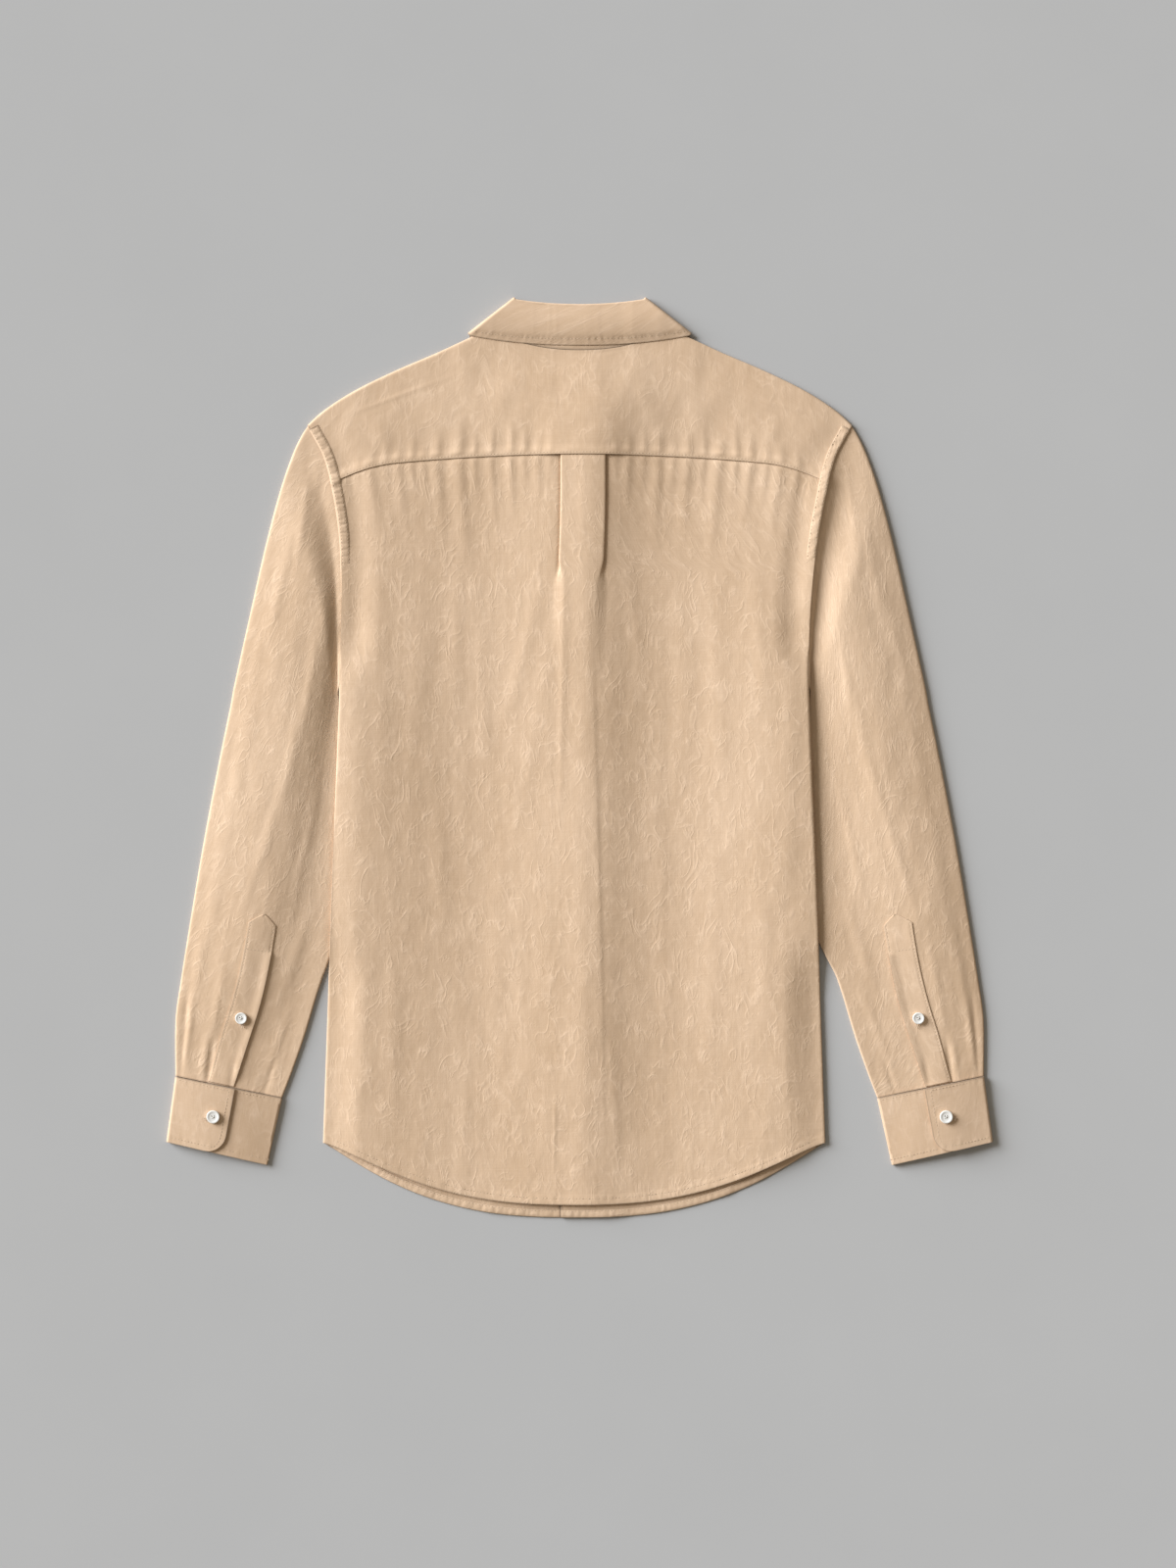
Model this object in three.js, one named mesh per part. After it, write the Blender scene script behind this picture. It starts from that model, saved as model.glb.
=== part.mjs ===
// Long-sleeve woven shirt, buttoned and laid flat with its back up, in millimetres.
// +X is across the shirt, +Y runs from hem to collar, +Z is up from the surface it lies on.
// The origin is on that surface, at the middle of the shirt's length and width.
// Every cloth piece is a closed wall round a middle surface, and pieces meet at their seams.

import * as THREE from "three";
import { mergeVertices } from "three/addons/utils/BufferGeometryUtils.js";

// ---- Driving dimensions ------------------------------------------------------------------------

const CLOTH = 1.2; // wall of one layer of shirt cloth
const HALF = CLOTH / 2;
const SEAM = 0.3; // running gap where two pieces meet or lie on each other
const PITCH = CLOTH + SEAM; // from one layer's middle to the next one's
const CUFF_WALL = 1.5; // interlined cuff

const ARMPIT = 63; // y of the lower end of the armholes
const SIDE_END = -338; // y of the corners of the hem
const BODY_LEAN = -4.8; // the body lies this far to one side below the armholes

const BACK_HEM_DROP = 54; // the hem's middle lies this far below its corners
const FRONT_HEM_DROP = 65.5;
const HEM_REACH = 220; // half of the hem's width

const YOKE_SEAM_Y = 267;
const YOKE_WRAP = 14; // the yoke turns this far under at the shoulders
const NECK_HALF = 80; // from the middle to where the neck seam meets the shoulder
const NECK_BACK_Y = 357.5;
const NECK_SIDE_Y = 375.5;
const NECK_FRONT_Y = 285;

const PLEAT_MIDDLE = 3;
const PLEAT_HALF = 19; // half of the back pleat's width
const PLEAT_TUCK = 12; // cloth folded under on each side
const PLEAT_END = 150; // y where the fold has opened

const BUTTON = { radius: 5.7, thick: 2.2, rim: 1.2 };
const SMALL_BUTTON = { radius: 5.1, thick: 2.2, rim: 1.1 };
const FRONT_BUTTON_PITCH = 90;
const FRONT_BUTTONS = 6;
const FIRST_FRONT_BUTTON = 232;
const COLLAR_BUTTON_Y = 298;

const PLACKET_HALF = 17; // half of the front placket's width
const PLACKET_BOTTOM = BUTTON.thick + SEAM; // the placket lies on its buttons
const SLEEVE_TUCK = 5; // the sleeve's inner fold lies this far under the body
const TUCK_LIFT = 3.9; // the body's sides ride this high over it
const POINT_LIFT = 1.6; // the fronts ride this high over the collar's points

// Half width of the body, from armhole seam or side fold to the middle.
const BODY_SIDE = [
  { y: 292, half: 239 },
  { y: 264, half: 224 },
  { y: 236, half: 216.5 },
  { y: 190, half: 209 },
  { y: 132, half: 205.5 },
  { y: 63, half: 206 },
  { y: -109, half: 212.5 },
  { y: -338, half: 220.5 },
];

// Outer edge of the shoulder, from the collar to the shoulder point.
const SHOULDER = [
  { x: 0, y: 398 },
  { x: 62, y: 384 },
  { x: 97, y: 368 },
  { x: 125, y: 355.2 },
  { x: 164, y: 338.4 },
  { x: 199, y: 321 },
  { x: 225, y: 304 },
  { x: 241.5, y: 289 },
];

// Outer fold of the sleeve.
const SLEEVE_OUTER = [
  { y: 291, x: 239.6 },
  { y: 270, x: 250.2 },
  { y: 235, x: 262.5 },
  { y: 184, x: 276 },
  { y: 132, x: 287.7 },
  { y: 63, x: 303 },
  { y: -6, x: 317.3 },
  { y: -74, x: 330.2 },
  { y: -143, x: 341.8 },
  { y: -195, x: 350 },
  { y: -229, x: 354.6 },
  { y: -279.3, x: 354.8 },
];

// Inner fold of the sleeve from where it leaves the body.
const SLEEVE_INNER = [
  { y: -139, x: 219 },
  { y: -178, x: 221.5 },
  { y: -212, x: 231.5 },
  { y: -247, x: 242 },
  { y: -281, x: 254 },
  { y: -298, x: 260.6 },
];

const CUFF = {
  topOuter: { x: 354.8, y: -279.6 },
  topInner: { x: 260.6, y: -298.6 },
  bottomOuter: { x: 362.6, y: -336.8 },
  bottomInner: { x: 273.6, y: -357.4 },
  flap: 0.56, // the flap ends this share of the width in from the outer fold
  under: 0.3, // the end below it reaches this share
  cornerRadius: 17,
};

const SLEEVE_PLACKET = {
  bottom: { v: 0.992, half: 0.12 }, // shares of the sleeve's length and width
  top: { v: 0.699, half: 0.097 },
  middle: [0.425, 0.244, -0.194], // its middle at the cuff, and how that moves towards the top
  skew: 0.0135, // its outer shoulder lies further down the sleeve than its inner one
  point: 0.018,
};

// ---- Small functions ---------------------------------------------------------------------------

const mix = (a, b, t) => a + (b - a) * t;
const clamp = (v, low, high) => Math.min(high, Math.max(low, v));

// 0 below low and 1 above high, with a smooth ramp between.
function ramp(low, high, value) {
  const t = clamp((value - low) / (high - low), 0, 1);
  return t * t * (3 - 2 * t);
}

// A smooth curve through a table's rows: the value of one column where the other has a given value.
function follow(table, key, column, at) {
  const rows = [...table].sort((a, b) => a[key] - b[key]);
  const v = clamp(at, rows[0][key], rows[rows.length - 1][key]);
  let i = 0;
  while (i < rows.length - 2 && v > rows[i + 1][key]) i += 1;
  const slope = (k) => {
    const before = rows[Math.max(0, k - 1)];
    const after = rows[Math.min(rows.length - 1, k + 1)];
    return (after[column] - before[column]) / (after[key] - before[key]);
  };
  const span = rows[i + 1][key] - rows[i][key];
  const t = (v - rows[i][key]) / span;
  const t2 = t * t;
  const t3 = t2 * t;
  return (
    (2 * t3 - 3 * t2 + 1) * rows[i][column] +
    (t3 - 2 * t2 + t) * span * slope(i) +
    (3 * t2 - 2 * t3) * rows[i + 1][column] +
    (t3 - t2) * span * slope(i + 1)
  );
}

const point = (x, y, z) => new THREE.Vector3(x, y, z);

// A point on a quadratic curve from a to b, pulled towards c.
function bend(a, c, b, t) {
  const s = 1 - t;
  return {
    x: s * s * a.x + 2 * s * t * c.x + t * t * b.x,
    y: s * s * a.y + 2 * s * t * c.y + t * t * b.y,
  };
}

// ---- Outlines of the body ----------------------------------------------------------------------

const lean = (y) => BODY_LEAN * (1 - ramp(70, 236, y));
const bodyHalf = (y) => follow(BODY_SIDE, "y", "half", y);

// 1 where front and back are joined at a side fold, 0 along the armholes.
const sideSeam = (y) => 1 - ramp(ARMPIT, ARMPIT + 40, y);

// x of the body's edge on one side; side is -1 or 1.
const bodyEdge = (y, side) => lean(y) + side * bodyHalf(y);

function hem(x, drop, fullness) {
  const share = clamp(Math.abs(x - lean(SIDE_END)) / HEM_REACH, 0, 1);
  return SIDE_END - drop * (1 - share ** 2.6) ** fullness;
}
const backHem = (x) => hem(x, BACK_HEM_DROP, 1.3);
const frontHem = (x) => hem(x, FRONT_HEM_DROP, 1.1);

function yokeSeam(x) {
  const away = Math.abs(x);
  return YOKE_SEAM_Y - 11 * (away / 193) ** 2 - 12 * (Math.max(0, away - 160) / 58) ** 2;
}

const shoulderFold = (x) => follow(SHOULDER, "x", "y", Math.abs(x));
const neckBack = (x) =>
  NECK_BACK_Y + (NECK_SIDE_Y - NECK_BACK_Y) * (Math.abs(x) / NECK_HALF) ** 2.2;
const yokeTop = (x) => (Math.abs(x) <= NECK_HALF ? neckBack(x) - SEAM : shoulderFold(x));
const frontNeck = (x) =>
  NECK_FRONT_Y + 77 * (clamp(Math.abs(x), 0, NECK_HALF) / NECK_HALF) ** 2.6;
const wrapEnd = (x) => shoulderFold(x) - YOKE_WRAP;
const frontTop = (x) => (Math.abs(x) <= NECK_HALF ? frontNeck(x) : wrapEnd(x)) - SEAM;

// Where a curve y(x) meets the body's edge on one side.
function meetEdge(curve, side) {
  let y = curve(side * 220);
  for (let i = 0; i < 30; i += 1) y = mix(y, curve(bodyEdge(y, side)), 0.5);
  return { x: bodyEdge(y, side), y };
}

// ---- Heights of the laid cloth -----------------------------------------------------------------

// How far a point lies in from the body's nearer edge.
const inFromEdge = (x, y) => Math.min(x - bodyEdge(y, -1), bodyEdge(y, 1) - x);

// Where the sleeve's fold lies under the body's side.
const tucked = (y) => (1 - ramp(60, 115, y)) * ramp(-215, -150, y);

// Underside of the fronts above the surface: over the sleeves' folds and the collar's points.
function frontLift(x, y) {
  const side = TUCK_LIFT * tucked(y) * (1 - ramp(9, 48, inFromEdge(x, y)));
  const points = POINT_LIFT * (1 - ramp(100, 128, Math.abs(x))) * ramp(222, 250, y);
  return Math.max(side, points);
}

// The middle of the shirt front rides over its buttons and the other front's edge.
const placketLift = (x, height) => height * (1 - ramp(PLACKET_HALF + 8, 64, Math.abs(x)));
const leftFrontLift = (x, y) => Math.max(frontLift(x, y), placketLift(x, PLACKET_BOTTOM));
const rightFrontLift = (x, y) =>
  Math.max(frontLift(x, y), placketLift(x, PLACKET_BOTTOM + PITCH));

// Soft folds that run down from the yoke seam, and a little way up into the yoke.
const SEAM_FOLDS = [
  { x: -190, height: 0.7, width: 13, length: 70 },
  { x: -150, height: 1.1, width: 15, length: 120 },
  { x: -112, height: 0.9, width: 12, length: 80 },
  { x: -72, height: 1.1, width: 14, length: 130 },
  { x: -38, height: 0.7, width: 11, length: 70 },
  { x: 46, height: 0.8, width: 12, length: 85 },
  { x: 86, height: 1.1, width: 14, length: 125 },
  { x: 124, height: 0.9, width: 13, length: 75 },
  { x: 162, height: 1.1, width: 15, length: 105 },
  { x: 196, height: 0.7, width: 11, length: 60 },
];

function seamFolds(x, y) {
  const below = yokeSeam(x) - y;
  return SEAM_FOLDS.reduce((sum, fold) => {
    const reach = below > 0 ? fold.length : fold.length * 0.45;
    const along = Math.max(0, 1 - Math.abs(below) / reach);
    return sum + fold.height * along * Math.exp(-(((x - fold.x) / fold.width) ** 2));
  }, 0);
}

// Three soft ridges run down the body, one at the middle and one near each side.
const RIDGES = [
  { x: -186, width: 46, height: 2.3 },
  { x: 180, width: 46, height: 2.3 },
];
const MIDDLE_RIDGE = { x: 3, width: 34, height: 1.9 };

function ridges(x, y) {
  const bump = (r) => r.height * Math.exp(-(((x - r.x - lean(y)) / r.width) ** 2));
  const sides = RIDGES.reduce((sum, r) => sum + bump(r), 0);
  return sides + bump(MIDDLE_RIDGE) * (1 - ramp(40, 220, y));
}

const LYING_GAP = 0.6; // between back and fronts where they lie close

// Middle of the back or yoke where it lies close on the fronts, and what its folds add to that.
function backLying(x, y) {
  const overButtons = placketLift(x, PLACKET_BOTTOM + PITCH) * (1 - ramp(335, 356, y));
  return CLOTH + Math.max(frontLift(x, y), overButtons) + LYING_GAP + HALF;
}

function backFolds(x, y) {
  return (0.2 + ridges(x, y) + seamFolds(x, y)) * ramp(0, 70, shoulderFold(x) - y);
}

const ARMHOLE_GAP = 1.6; // between the two layers at the armhole seams
const SIDE_FOLD_Z = HALF + 0.9; // middle of the side folds above the lift
const SIDE_ROUND = 0.8; // how far in from the edge their round reaches

// The side folds turn upright, so there the middle of the cloth lies in from the outline.
const foldInset = (y) => HALF * ramp(0, 0.3, sideSeam(y));
const fromRim = (x, y) => Math.max(0, inFromEdge(x, y) - foldInset(y));

// Share of the full height at a distance in from the rim: a round fold at the side seams and a
// soft dip at the armhole seams.
const roundRise = (distance, reach) =>
  Math.sqrt(1 - (1 - clamp(distance / reach, 0, 1)) ** 2);

function backSurface(x, y) {
  const joined = sideSeam(y);
  const distance = fromRim(x, y);
  const atArmhole = HALF + CLOTH + ARMHOLE_GAP + frontLift(x, y);
  const atSide = SIDE_FOLD_Z + SEAM / 2 + frontLift(x, y);
  const lying = backLying(x, y);
  const byArmhole = mix(atArmhole, lying, ramp(0, 24, distance));
  const bySide = mix(atSide, lying, roundRise(distance, SIDE_ROUND));
  return mix(byArmhole, bySide, joined) + backFolds(x, y) * ramp(0, 26, distance);
}

function frontSurface(x, y, lift) {
  const turnUp = SIDE_FOLD_Z - SEAM / 2 - HALF;
  return HALF + lift(x, y) + turnUp * sideSeam(y) * (1 - roundRise(fromRim(x, y), SIDE_ROUND));
}

// ---- Walls -------------------------------------------------------------------------------------

// A closed wall round a middle surface given as rows of points. Points that coincide share their
// vertices, so a row whose ends meet is a ring there.
function wall(rows, thickness) {
  const nameOf = (p) => [p.x, p.y, p.z].map((v) => Math.round(v * 1000)).join(",");
  const across = rows[0].length;
  const normals = new Map();
  const faces = [];
  for (let r = 0; r + 1 < rows.length; r += 1) {
    for (let c = 0; c + 1 < across; c += 1) {
      const corners = [
        [r, c],
        [r, c + 1],
        [r + 1, c + 1],
        [r + 1, c],
      ];
      faces.push(corners);
      const [a, b, d, e] = corners.map(([i, j]) => rows[i][j]);
      const normal = new THREE.Vector3()
        .subVectors(d, a)
        .cross(new THREE.Vector3().subVectors(e, b))
        .normalize();
      for (const [i, j] of corners) {
        const key = nameOf(rows[i][j]);
        normals.set(key, (normals.get(key) ?? new THREE.Vector3()).add(normal));
      }
    }
  }
  const place = (r, c, side) => {
    const p = rows[r][c];
    const n = normals.get(nameOf(p)).clone().normalize();
    return p.clone().addScaledVector(n, (side * thickness) / 2);
  };
  const positions = [];
  const quad = (a, b, c, d) => {
    for (const p of [a, b, c, a, c, d]) positions.push(p.x, p.y, p.z);
  };
  for (const corners of faces) {
    quad(...corners.map(([r, c]) => place(r, c, 1)));
    quad(...[...corners].reverse().map(([r, c]) => place(r, c, -1)));
  }
  const rim = (from, to) => {
    quad(place(...from, -1), place(...to, -1), place(...to, 1), place(...from, 1));
  };
  const last = rows.length - 1;
  for (let c = 0; c + 1 < across; c += 1) {
    rim([0, c], [0, c + 1]);
    rim([last, c + 1], [last, c]);
  }
  for (let r = 0; r < last; r += 1) {
    const isRing = (i) => nameOf(rows[i][0]) === nameOf(rows[i][across - 1]);
    if (isRing(r) && isRing(r + 1)) continue;
    rim([r + 1, 0], [r, 0]);
    rim([r, across - 1], [r + 1, across - 1]);
  }
  return welded(positions);
}

// One closed surface: shared vertices merged and faces that have no area dropped.
function welded(positions) {
  const loose = new THREE.BufferGeometry().setAttribute(
    "position",
    new THREE.Float32BufferAttribute(positions, 3),
  );
  const merged = mergeVertices(loose, 2e-3);
  const index = merged.index.array;
  const kept = [];
  for (let i = 0; i < index.length; i += 3) {
    const [a, b, c] = [index[i], index[i + 1], index[i + 2]];
    if (a !== b && b !== c && c !== a) kept.push(a, b, c);
  }
  merged.setIndex(kept);
  merged.computeVertexNormals();
  return merged;
}

// ---- Rows of the body's panels -----------------------------------------------------------------

// y at which the rows of a panel meet its armhole and its side fold. Panels that meet share them.
const ARMHOLE_STOPS = [218, 196, 173, 150, 127, 107, 90, 75];
const SIDE_STOPS = [63, 42, 20, -30, -90, -140, -158, -176, -196, -215, -255, -300, -325, -338];
const FRONT_SHOULDER_STOPS = [268, 254, 239];

// Share of the way down a panel at which its row meets the side at a given y.
function shareAt(top, bottom, side, y) {
  const x = bodyEdge(y, side);
  return (top(x) - y) / (top(x) - bottom(x));
}

// One row across a panel: y for any x, from its shares at the two sides.
function rowCurve(top, bottom, stop) {
  const share = (side) => (stop === null ? 0 : shareAt(top, bottom, side, stop));
  const [left, right] = [share(-1), share(1)];
  return (x) => {
    const across = clamp((x - bodyEdge(0, -1)) / (bodyEdge(0, 1) - bodyEdge(0, -1)), 0, 1);
    return mix(top(x), bottom(x), mix(left, right, across));
  };
}

// ---- Back with its box pleat -------------------------------------------------------------------

const SIDE_STATIONS = [0, 0.04, 0.25, 0.8, 8, 22]; // distances in from an edge
const BACK_FIELD = 10; // columns between those and the pleat
const BACK_STOPS = [null, ...ARMHOLE_STOPS, ...SIDE_STOPS];

// One side of the pleat, from the cloth beside it up to the band that covers its tuck. The tuck
// is folded while it has a depth, and otherwise a soft step.
function tuck(edge, toMiddle, depth, step, low) {
  const half = PITCH / 2;
  if (depth > 0) {
    return [
      { x: edge + toMiddle * depth, z: low },
      { x: edge + toMiddle * (depth + half), z: low + half },
      { x: edge + toMiddle * depth, z: low + PITCH },
      { x: edge, z: low + PITCH },
      { x: edge - toMiddle * half, z: low + 1.5 * PITCH },
      { x: edge, z: low + 2 * PITCH },
    ];
  }
  return [-5, -3, -1, 1, 3, 5].map((d) => ({
    x: edge + toMiddle * d,
    z: low + step * ramp(-6, 6, d),
  }));
}

function backRow(stop) {
  const yAt = rowCurve((x) => yokeSeam(x) - SEAM, backHem, stop);
  const left = meetEdge(yAt, -1);
  const right = meetEdge(yAt, 1);
  const from = left.x + foldInset(left.y);
  const to = right.x - foldInset(right.y);
  const middleX = PLEAT_MIDDLE + lean(yAt(0));
  const middleY = yAt(middleX);
  const opening = (middleY - PLEAT_END) / (YOKE_SEAM_Y - PLEAT_END);
  const depth = opening > 0.08 ? PLEAT_TUCK * opening : 0;
  const step = 2 * PITCH * ramp(10, PLEAT_END + 10, middleY);
  const leftEdge = middleX - PLEAT_HALF;
  const rightEdge = middleX + PLEAT_HALF;
  const low = backSurface(middleX, middleY);
  const inner = SIDE_STATIONS[SIDE_STATIONS.length - 1];

  const path = [];
  const onCloth = (x) => path.push({ x, z: backSurface(x, yAt(x)) });
  for (const d of SIDE_STATIONS) onCloth(from + d);
  for (let i = 1; i <= BACK_FIELD; i += 1) {
    onCloth(mix(from + inner, leftEdge - 8, i / BACK_FIELD));
  }
  path.push(...tuck(leftEdge, 1, depth, step, low));
  for (const x of [-7, 7]) {
    path.push({ x: middleX + x, z: low + (depth > 0 ? 2 * PITCH : step) });
  }
  path.push(...tuck(rightEdge, -1, depth, step, low).reverse());
  for (let i = 0; i < BACK_FIELD; i += 1) {
    onCloth(mix(rightEdge + 8, to - inner, i / BACK_FIELD));
  }
  for (const d of [...SIDE_STATIONS].reverse()) onCloth(to - d);
  return path.map((p) => point(p.x, yAt(p.x), p.z));
}

// ---- Yoke, turned under at the shoulders -------------------------------------------------------

const YOKE_ROWS = [0, 0.26, 0.54, 0.8];
const TURN_ANGLES = [90, 45, 0, -45, -90]; // round the shoulder fold, in degrees
const YOKE_EDGE = [0, 5, 13, 24]; // distances in from the armhole
const YOKE_FIELD = 8; // columns between those and the neck
const YOKE_NECK = 6; // columns across half of the neck
const SHOULDER_ROUND = 2.4; // how far the shoulder fold's round reaches in
const NECK_STEP = 1.2;

function yokeColumns(half) {
  const inner = half - YOKE_EDGE[YOKE_EDGE.length - 1];
  const right = [];
  for (let i = 0; i <= YOKE_NECK; i += 1) right.push((NECK_HALF * i) / YOKE_NECK);
  for (let i = 0; i < YOKE_FIELD; i += 1) right.push(mix(NECK_HALF + 6, inner, i / YOKE_FIELD));
  right.push(...[...YOKE_EDGE].reverse().map((d) => half - d));
  return [...right.slice(1).reverse().map((x) => -x), ...right];
}

function yokeRow(curve, height) {
  const half = meetEdge(curve, 1).x;
  return yokeColumns(half).map((x) => point(x, curve(x), height(x, curve(x))));
}

const atNeck = (x) => Math.abs(x) <= NECK_HALF;
const sine = (degrees) => Math.sin(THREE.MathUtils.degToRad(degrees));
const cosine = (degrees) => Math.cos(THREE.MathUtils.degToRad(degrees));

function yokeRows() {
  const lastFlat = (x) => yokeTop(x) - HALF - SHOULDER_ROUND;
  const upperRowTop = (x) => (atNeck(x) ? yokeTop(x) - NECK_STEP * TURN_ANGLES.length : lastFlat(x));
  const rows = YOKE_ROWS.map((share) =>
    yokeRow((x) => mix(yokeSeam(x), upperRowTop(x), share), backSurface),
  );
  TURN_ANGLES.forEach((degrees, i) => {
    const curve = (x) =>
      atNeck(x)
        ? yokeTop(x) - NECK_STEP * (TURN_ANGLES.length - i)
        : yokeTop(x) - HALF - SHOULDER_ROUND * (1 - cosine(degrees));
    const height = (x, y) => {
      if (atNeck(x)) return backSurface(x, y);
      const upper = backSurface(x, lastFlat(x));
      const lower = HALF + frontLift(x, wrapEnd(x));
      return mix(lower, upper, (1 + sine(degrees)) / 2);
    };
    rows.push(yokeRow(curve, height));
  });
  rows.push(
    yokeRow(
      (x) => (atNeck(x) ? yokeTop(x) : wrapEnd(x)),
      (x, y) => (atNeck(x) ? backSurface(x, y) : HALF + frontLift(x, y)),
    ),
  );
  return rows;
}

// ---- Fronts and front placket ------------------------------------------------------------------

const FRONT_STOPS = [null, ...FRONT_SHOULDER_STOPS, ...ARMHOLE_STOPS, ...SIDE_STOPS];
const FRONT_STATIONS = [0, 0.04, 0.25, 0.8, 8, 25, 48]; // distances in from the outer edge
const FRONT_FIELD = [135, 106]; // from the middle, between those and the neck
const NECK_COLUMNS = [79, 65, 50, 34, 19]; // where fronts and collar stand have their columns

function frontRow(stop, side) {
  const lift = side < 0 ? leftFrontLift : rightFrontLift;
  const yAt = rowCurve(frontTop, frontHem, stop);
  const edge = meetEdge(yAt, side);
  const outer = edge.x - side * foldInset(edge.y);
  const row = FRONT_STATIONS.map((d) => outer - side * d);
  row.push(...[...FRONT_FIELD, ...NECK_COLUMNS].map((x) => side * x));
  row.push(...(side < 0 ? [-PLACKET_HALF - SEAM] : [0, -PLACKET_HALF]));
  return row.map((x) => point(x, yAt(x), frontSurface(x, yAt(x), lift)));
}

const PLACKET_ROWS = [0, 0.25, 0.5, 0.75, 1];
const placketRow = (share) =>
  [-PLACKET_HALF, 0, PLACKET_HALF].map((x) =>
    point(x, mix(frontTop(x), frontHem(x), share), PLACKET_BOTTOM + HALF),
  );

// ---- Sleeves -----------------------------------------------------------------------------------

const SLEEVE_ROWS = [
  0, 0.014, 0.032, 0.055, 0.085, 0.13, 0.2, 0.3, 0.41, 0.52, 0.63, 0.74, 0.83, 0.9, 0.955, 1,
];
const SLEEVE_LOFT = 3.4; // the upper layer stands this far off the lower one
const SLEEVE_TOP_WIDTH = 150;
const SLEEVE_CUFF_WIDTH = 96;
const SETTLED = 0.055; // share of the sleeve over which it comes down from the armhole

function outerFold(v, side) {
  const y = mix(SLEEVE_OUTER[0].y, SLEEVE_OUTER[SLEEVE_OUTER.length - 1].y, v);
  return { x: side * (follow(SLEEVE_OUTER, "y", "x", y) - HALF), y };
}

function innerFold(v, side) {
  const y = mix(ARMPIT, -298.2, v);
  const free = side * (follow(SLEEVE_INNER, "y", "x", y) + HALF);
  const beside = bodyEdge(y, side) + side * (SEAM + HALF);
  return { x: mix(free, beside, ramp(-195, -140, y)), y };
}

// How far the cloth next to the inner fold is pushed in under the body.
function pushedUnder(y, w) {
  const reach = SLEEVE_TUCK + SEAM + HALF;
  return reach * (1 - ramp(10, 42, y)) * ramp(-195, -140, y) * ramp(0.8, 1, w);
}

// The loop of the armhole on one side, from the armpit up the back, over the shoulder and down the
// front. height is 1 on the upper layer and 0 on the lower one.
function armholeLoop(side) {
  const atEdge = (row) => (side < 0 ? row[0] : row[row.length - 1]);
  const out = (p, z, height) => ({ x: p.x + side * SEAM, y: p.y, z, height });
  const stops = [ARMPIT, ...[...ARMHOLE_STOPS].reverse()].map((y) => {
    const x = bodyEdge(y, side);
    return out({ x, y }, HALF + CLOTH + ARMHOLE_GAP + frontLift(x, y), 1);
  });
  yokeRows().forEach((row, i) => {
    const p = atEdge(row);
    const angle = TURN_ANGLES[i - YOKE_ROWS.length];
    const ends = i < YOKE_ROWS.length ? 1 : 0;
    stops.push(out(p, p.z, angle === undefined ? ends : (1 + sine(angle)) / 2));
  });
  for (const y of [...FRONT_SHOULDER_STOPS, ...ARMHOLE_STOPS, ARMPIT]) {
    const x = bodyEdge(y, side);
    stops.push(out({ x, y }, HALF + frontLift(x, y), 0));
  }
  return stops;
}

// The places of the loop's stops across the sleeve, 0 at the outer fold and 1 at the inner one.
function placesAcross(stops) {
  const turn = stops.findIndex((s) => s.height <= 0.6);
  const lengths = stops.map((s, i) =>
    i === 0 ? 0 : Math.hypot(s.x - stops[i - 1].x, s.y - stops[i - 1].y),
  );
  const between = (from, to) => lengths.slice(from + 1, to + 1).reduce((a, b) => a + b, 0);
  const last = stops.length - 1;
  return stops.map((_, i) =>
    i <= turn ? between(i, turn) / between(0, turn) : between(turn, i) / between(turn, last),
  );
}

// Soft folds pressed into the sleeve where it is gathered into its cuff.
const CUFF_FOLDS = [
  { w: 0.06, height: 1.2, width: 0.035, length: 0.14 },
  { w: 0.31, height: 1.0, width: 0.03, length: 0.05 },
  { w: 0.8, height: 0.8, width: 0.05, length: 0.12 },
];

function sleeveLoft(v, w) {
  const width = mix(SLEEVE_TOP_WIDTH, SLEEVE_CUFF_WIDTH, v);
  const lens = ramp(-4, 50, w * width) * ramp(4, 62, (1 - w) * width);
  const folds = CUFF_FOLDS.reduce((sum, fold) => {
    const share = Math.max(0, 1 - (1 - v) / fold.length);
    return sum + fold.height * share * Math.exp(-(((w - fold.w) / fold.width) ** 2));
  }, 0);
  return SLEEVE_LOFT * (1 - 0.9 * ramp(0.72, 1, v)) * lens + folds * (1 - 0.7 * ramp(0.98, 1, v));
}

// Plan of a sleeve: a patch between the armhole, the two folds and the cuff seam.
function sleevePlan(v, w, atArmhole, side) {
  const edges = [outerFold(v, side), innerFold(v, side)];
  const starts = [outerFold(0, side), innerFold(0, side)];
  const ends = [outerFold(1, side), innerFold(1, side)];
  const on = (k) => {
    const atCuff = mix(ends[0][k], ends[1][k], w);
    const corners = mix(mix(starts[0][k], starts[1][k], w), atCuff, v);
    return mix(edges[0][k], edges[1][k], w) + mix(atArmhole[k], atCuff, v) - corners;
  };
  const y = on("y");
  const clear = 0.6 * ramp(0, 0.014, v) * ramp(45, 60, y);
  return { x: on("x") + side * (clear - pushedUnder(y, w)), y };
}

const upperZ = (v, w) => HALF + PITCH + 0.6 * (1 - ramp(0.75, 1, w)) * (1 - v) + sleeveLoft(v, w);

function sleeveRows(side) {
  const stops = armholeLoop(side);
  const places = placesAcross(stops);
  return SLEEVE_ROWS.map((v) => {
    const row = stops.map((stop, i) => {
      const plan = sleevePlan(v, places[i], stop, side);
      const lying = mix(HALF, upperZ(v, places[i]), stop.height);
      return point(plan.x, plan.y, mix(stop.z, lying, ramp(0, SETTLED, v)));
    });
    const fold = innerFold(v, side);
    const tip = point(
      fold.x - side * pushedUnder(fold.y, 1),
      fold.y,
      (row[0].z + row[row.length - 1].z) / 2,
    );
    const inner = [row[0], row[row.length - 1]].map(
      (p) => point(tip.x + side * PITCH * 0.5, p.y, p.z),
    );
    return [tip, inner[0], ...row.slice(1, -1), inner[1], tip.clone()];
  });
}

// ---- Sleeve plackets ---------------------------------------------------------------------------

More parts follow.
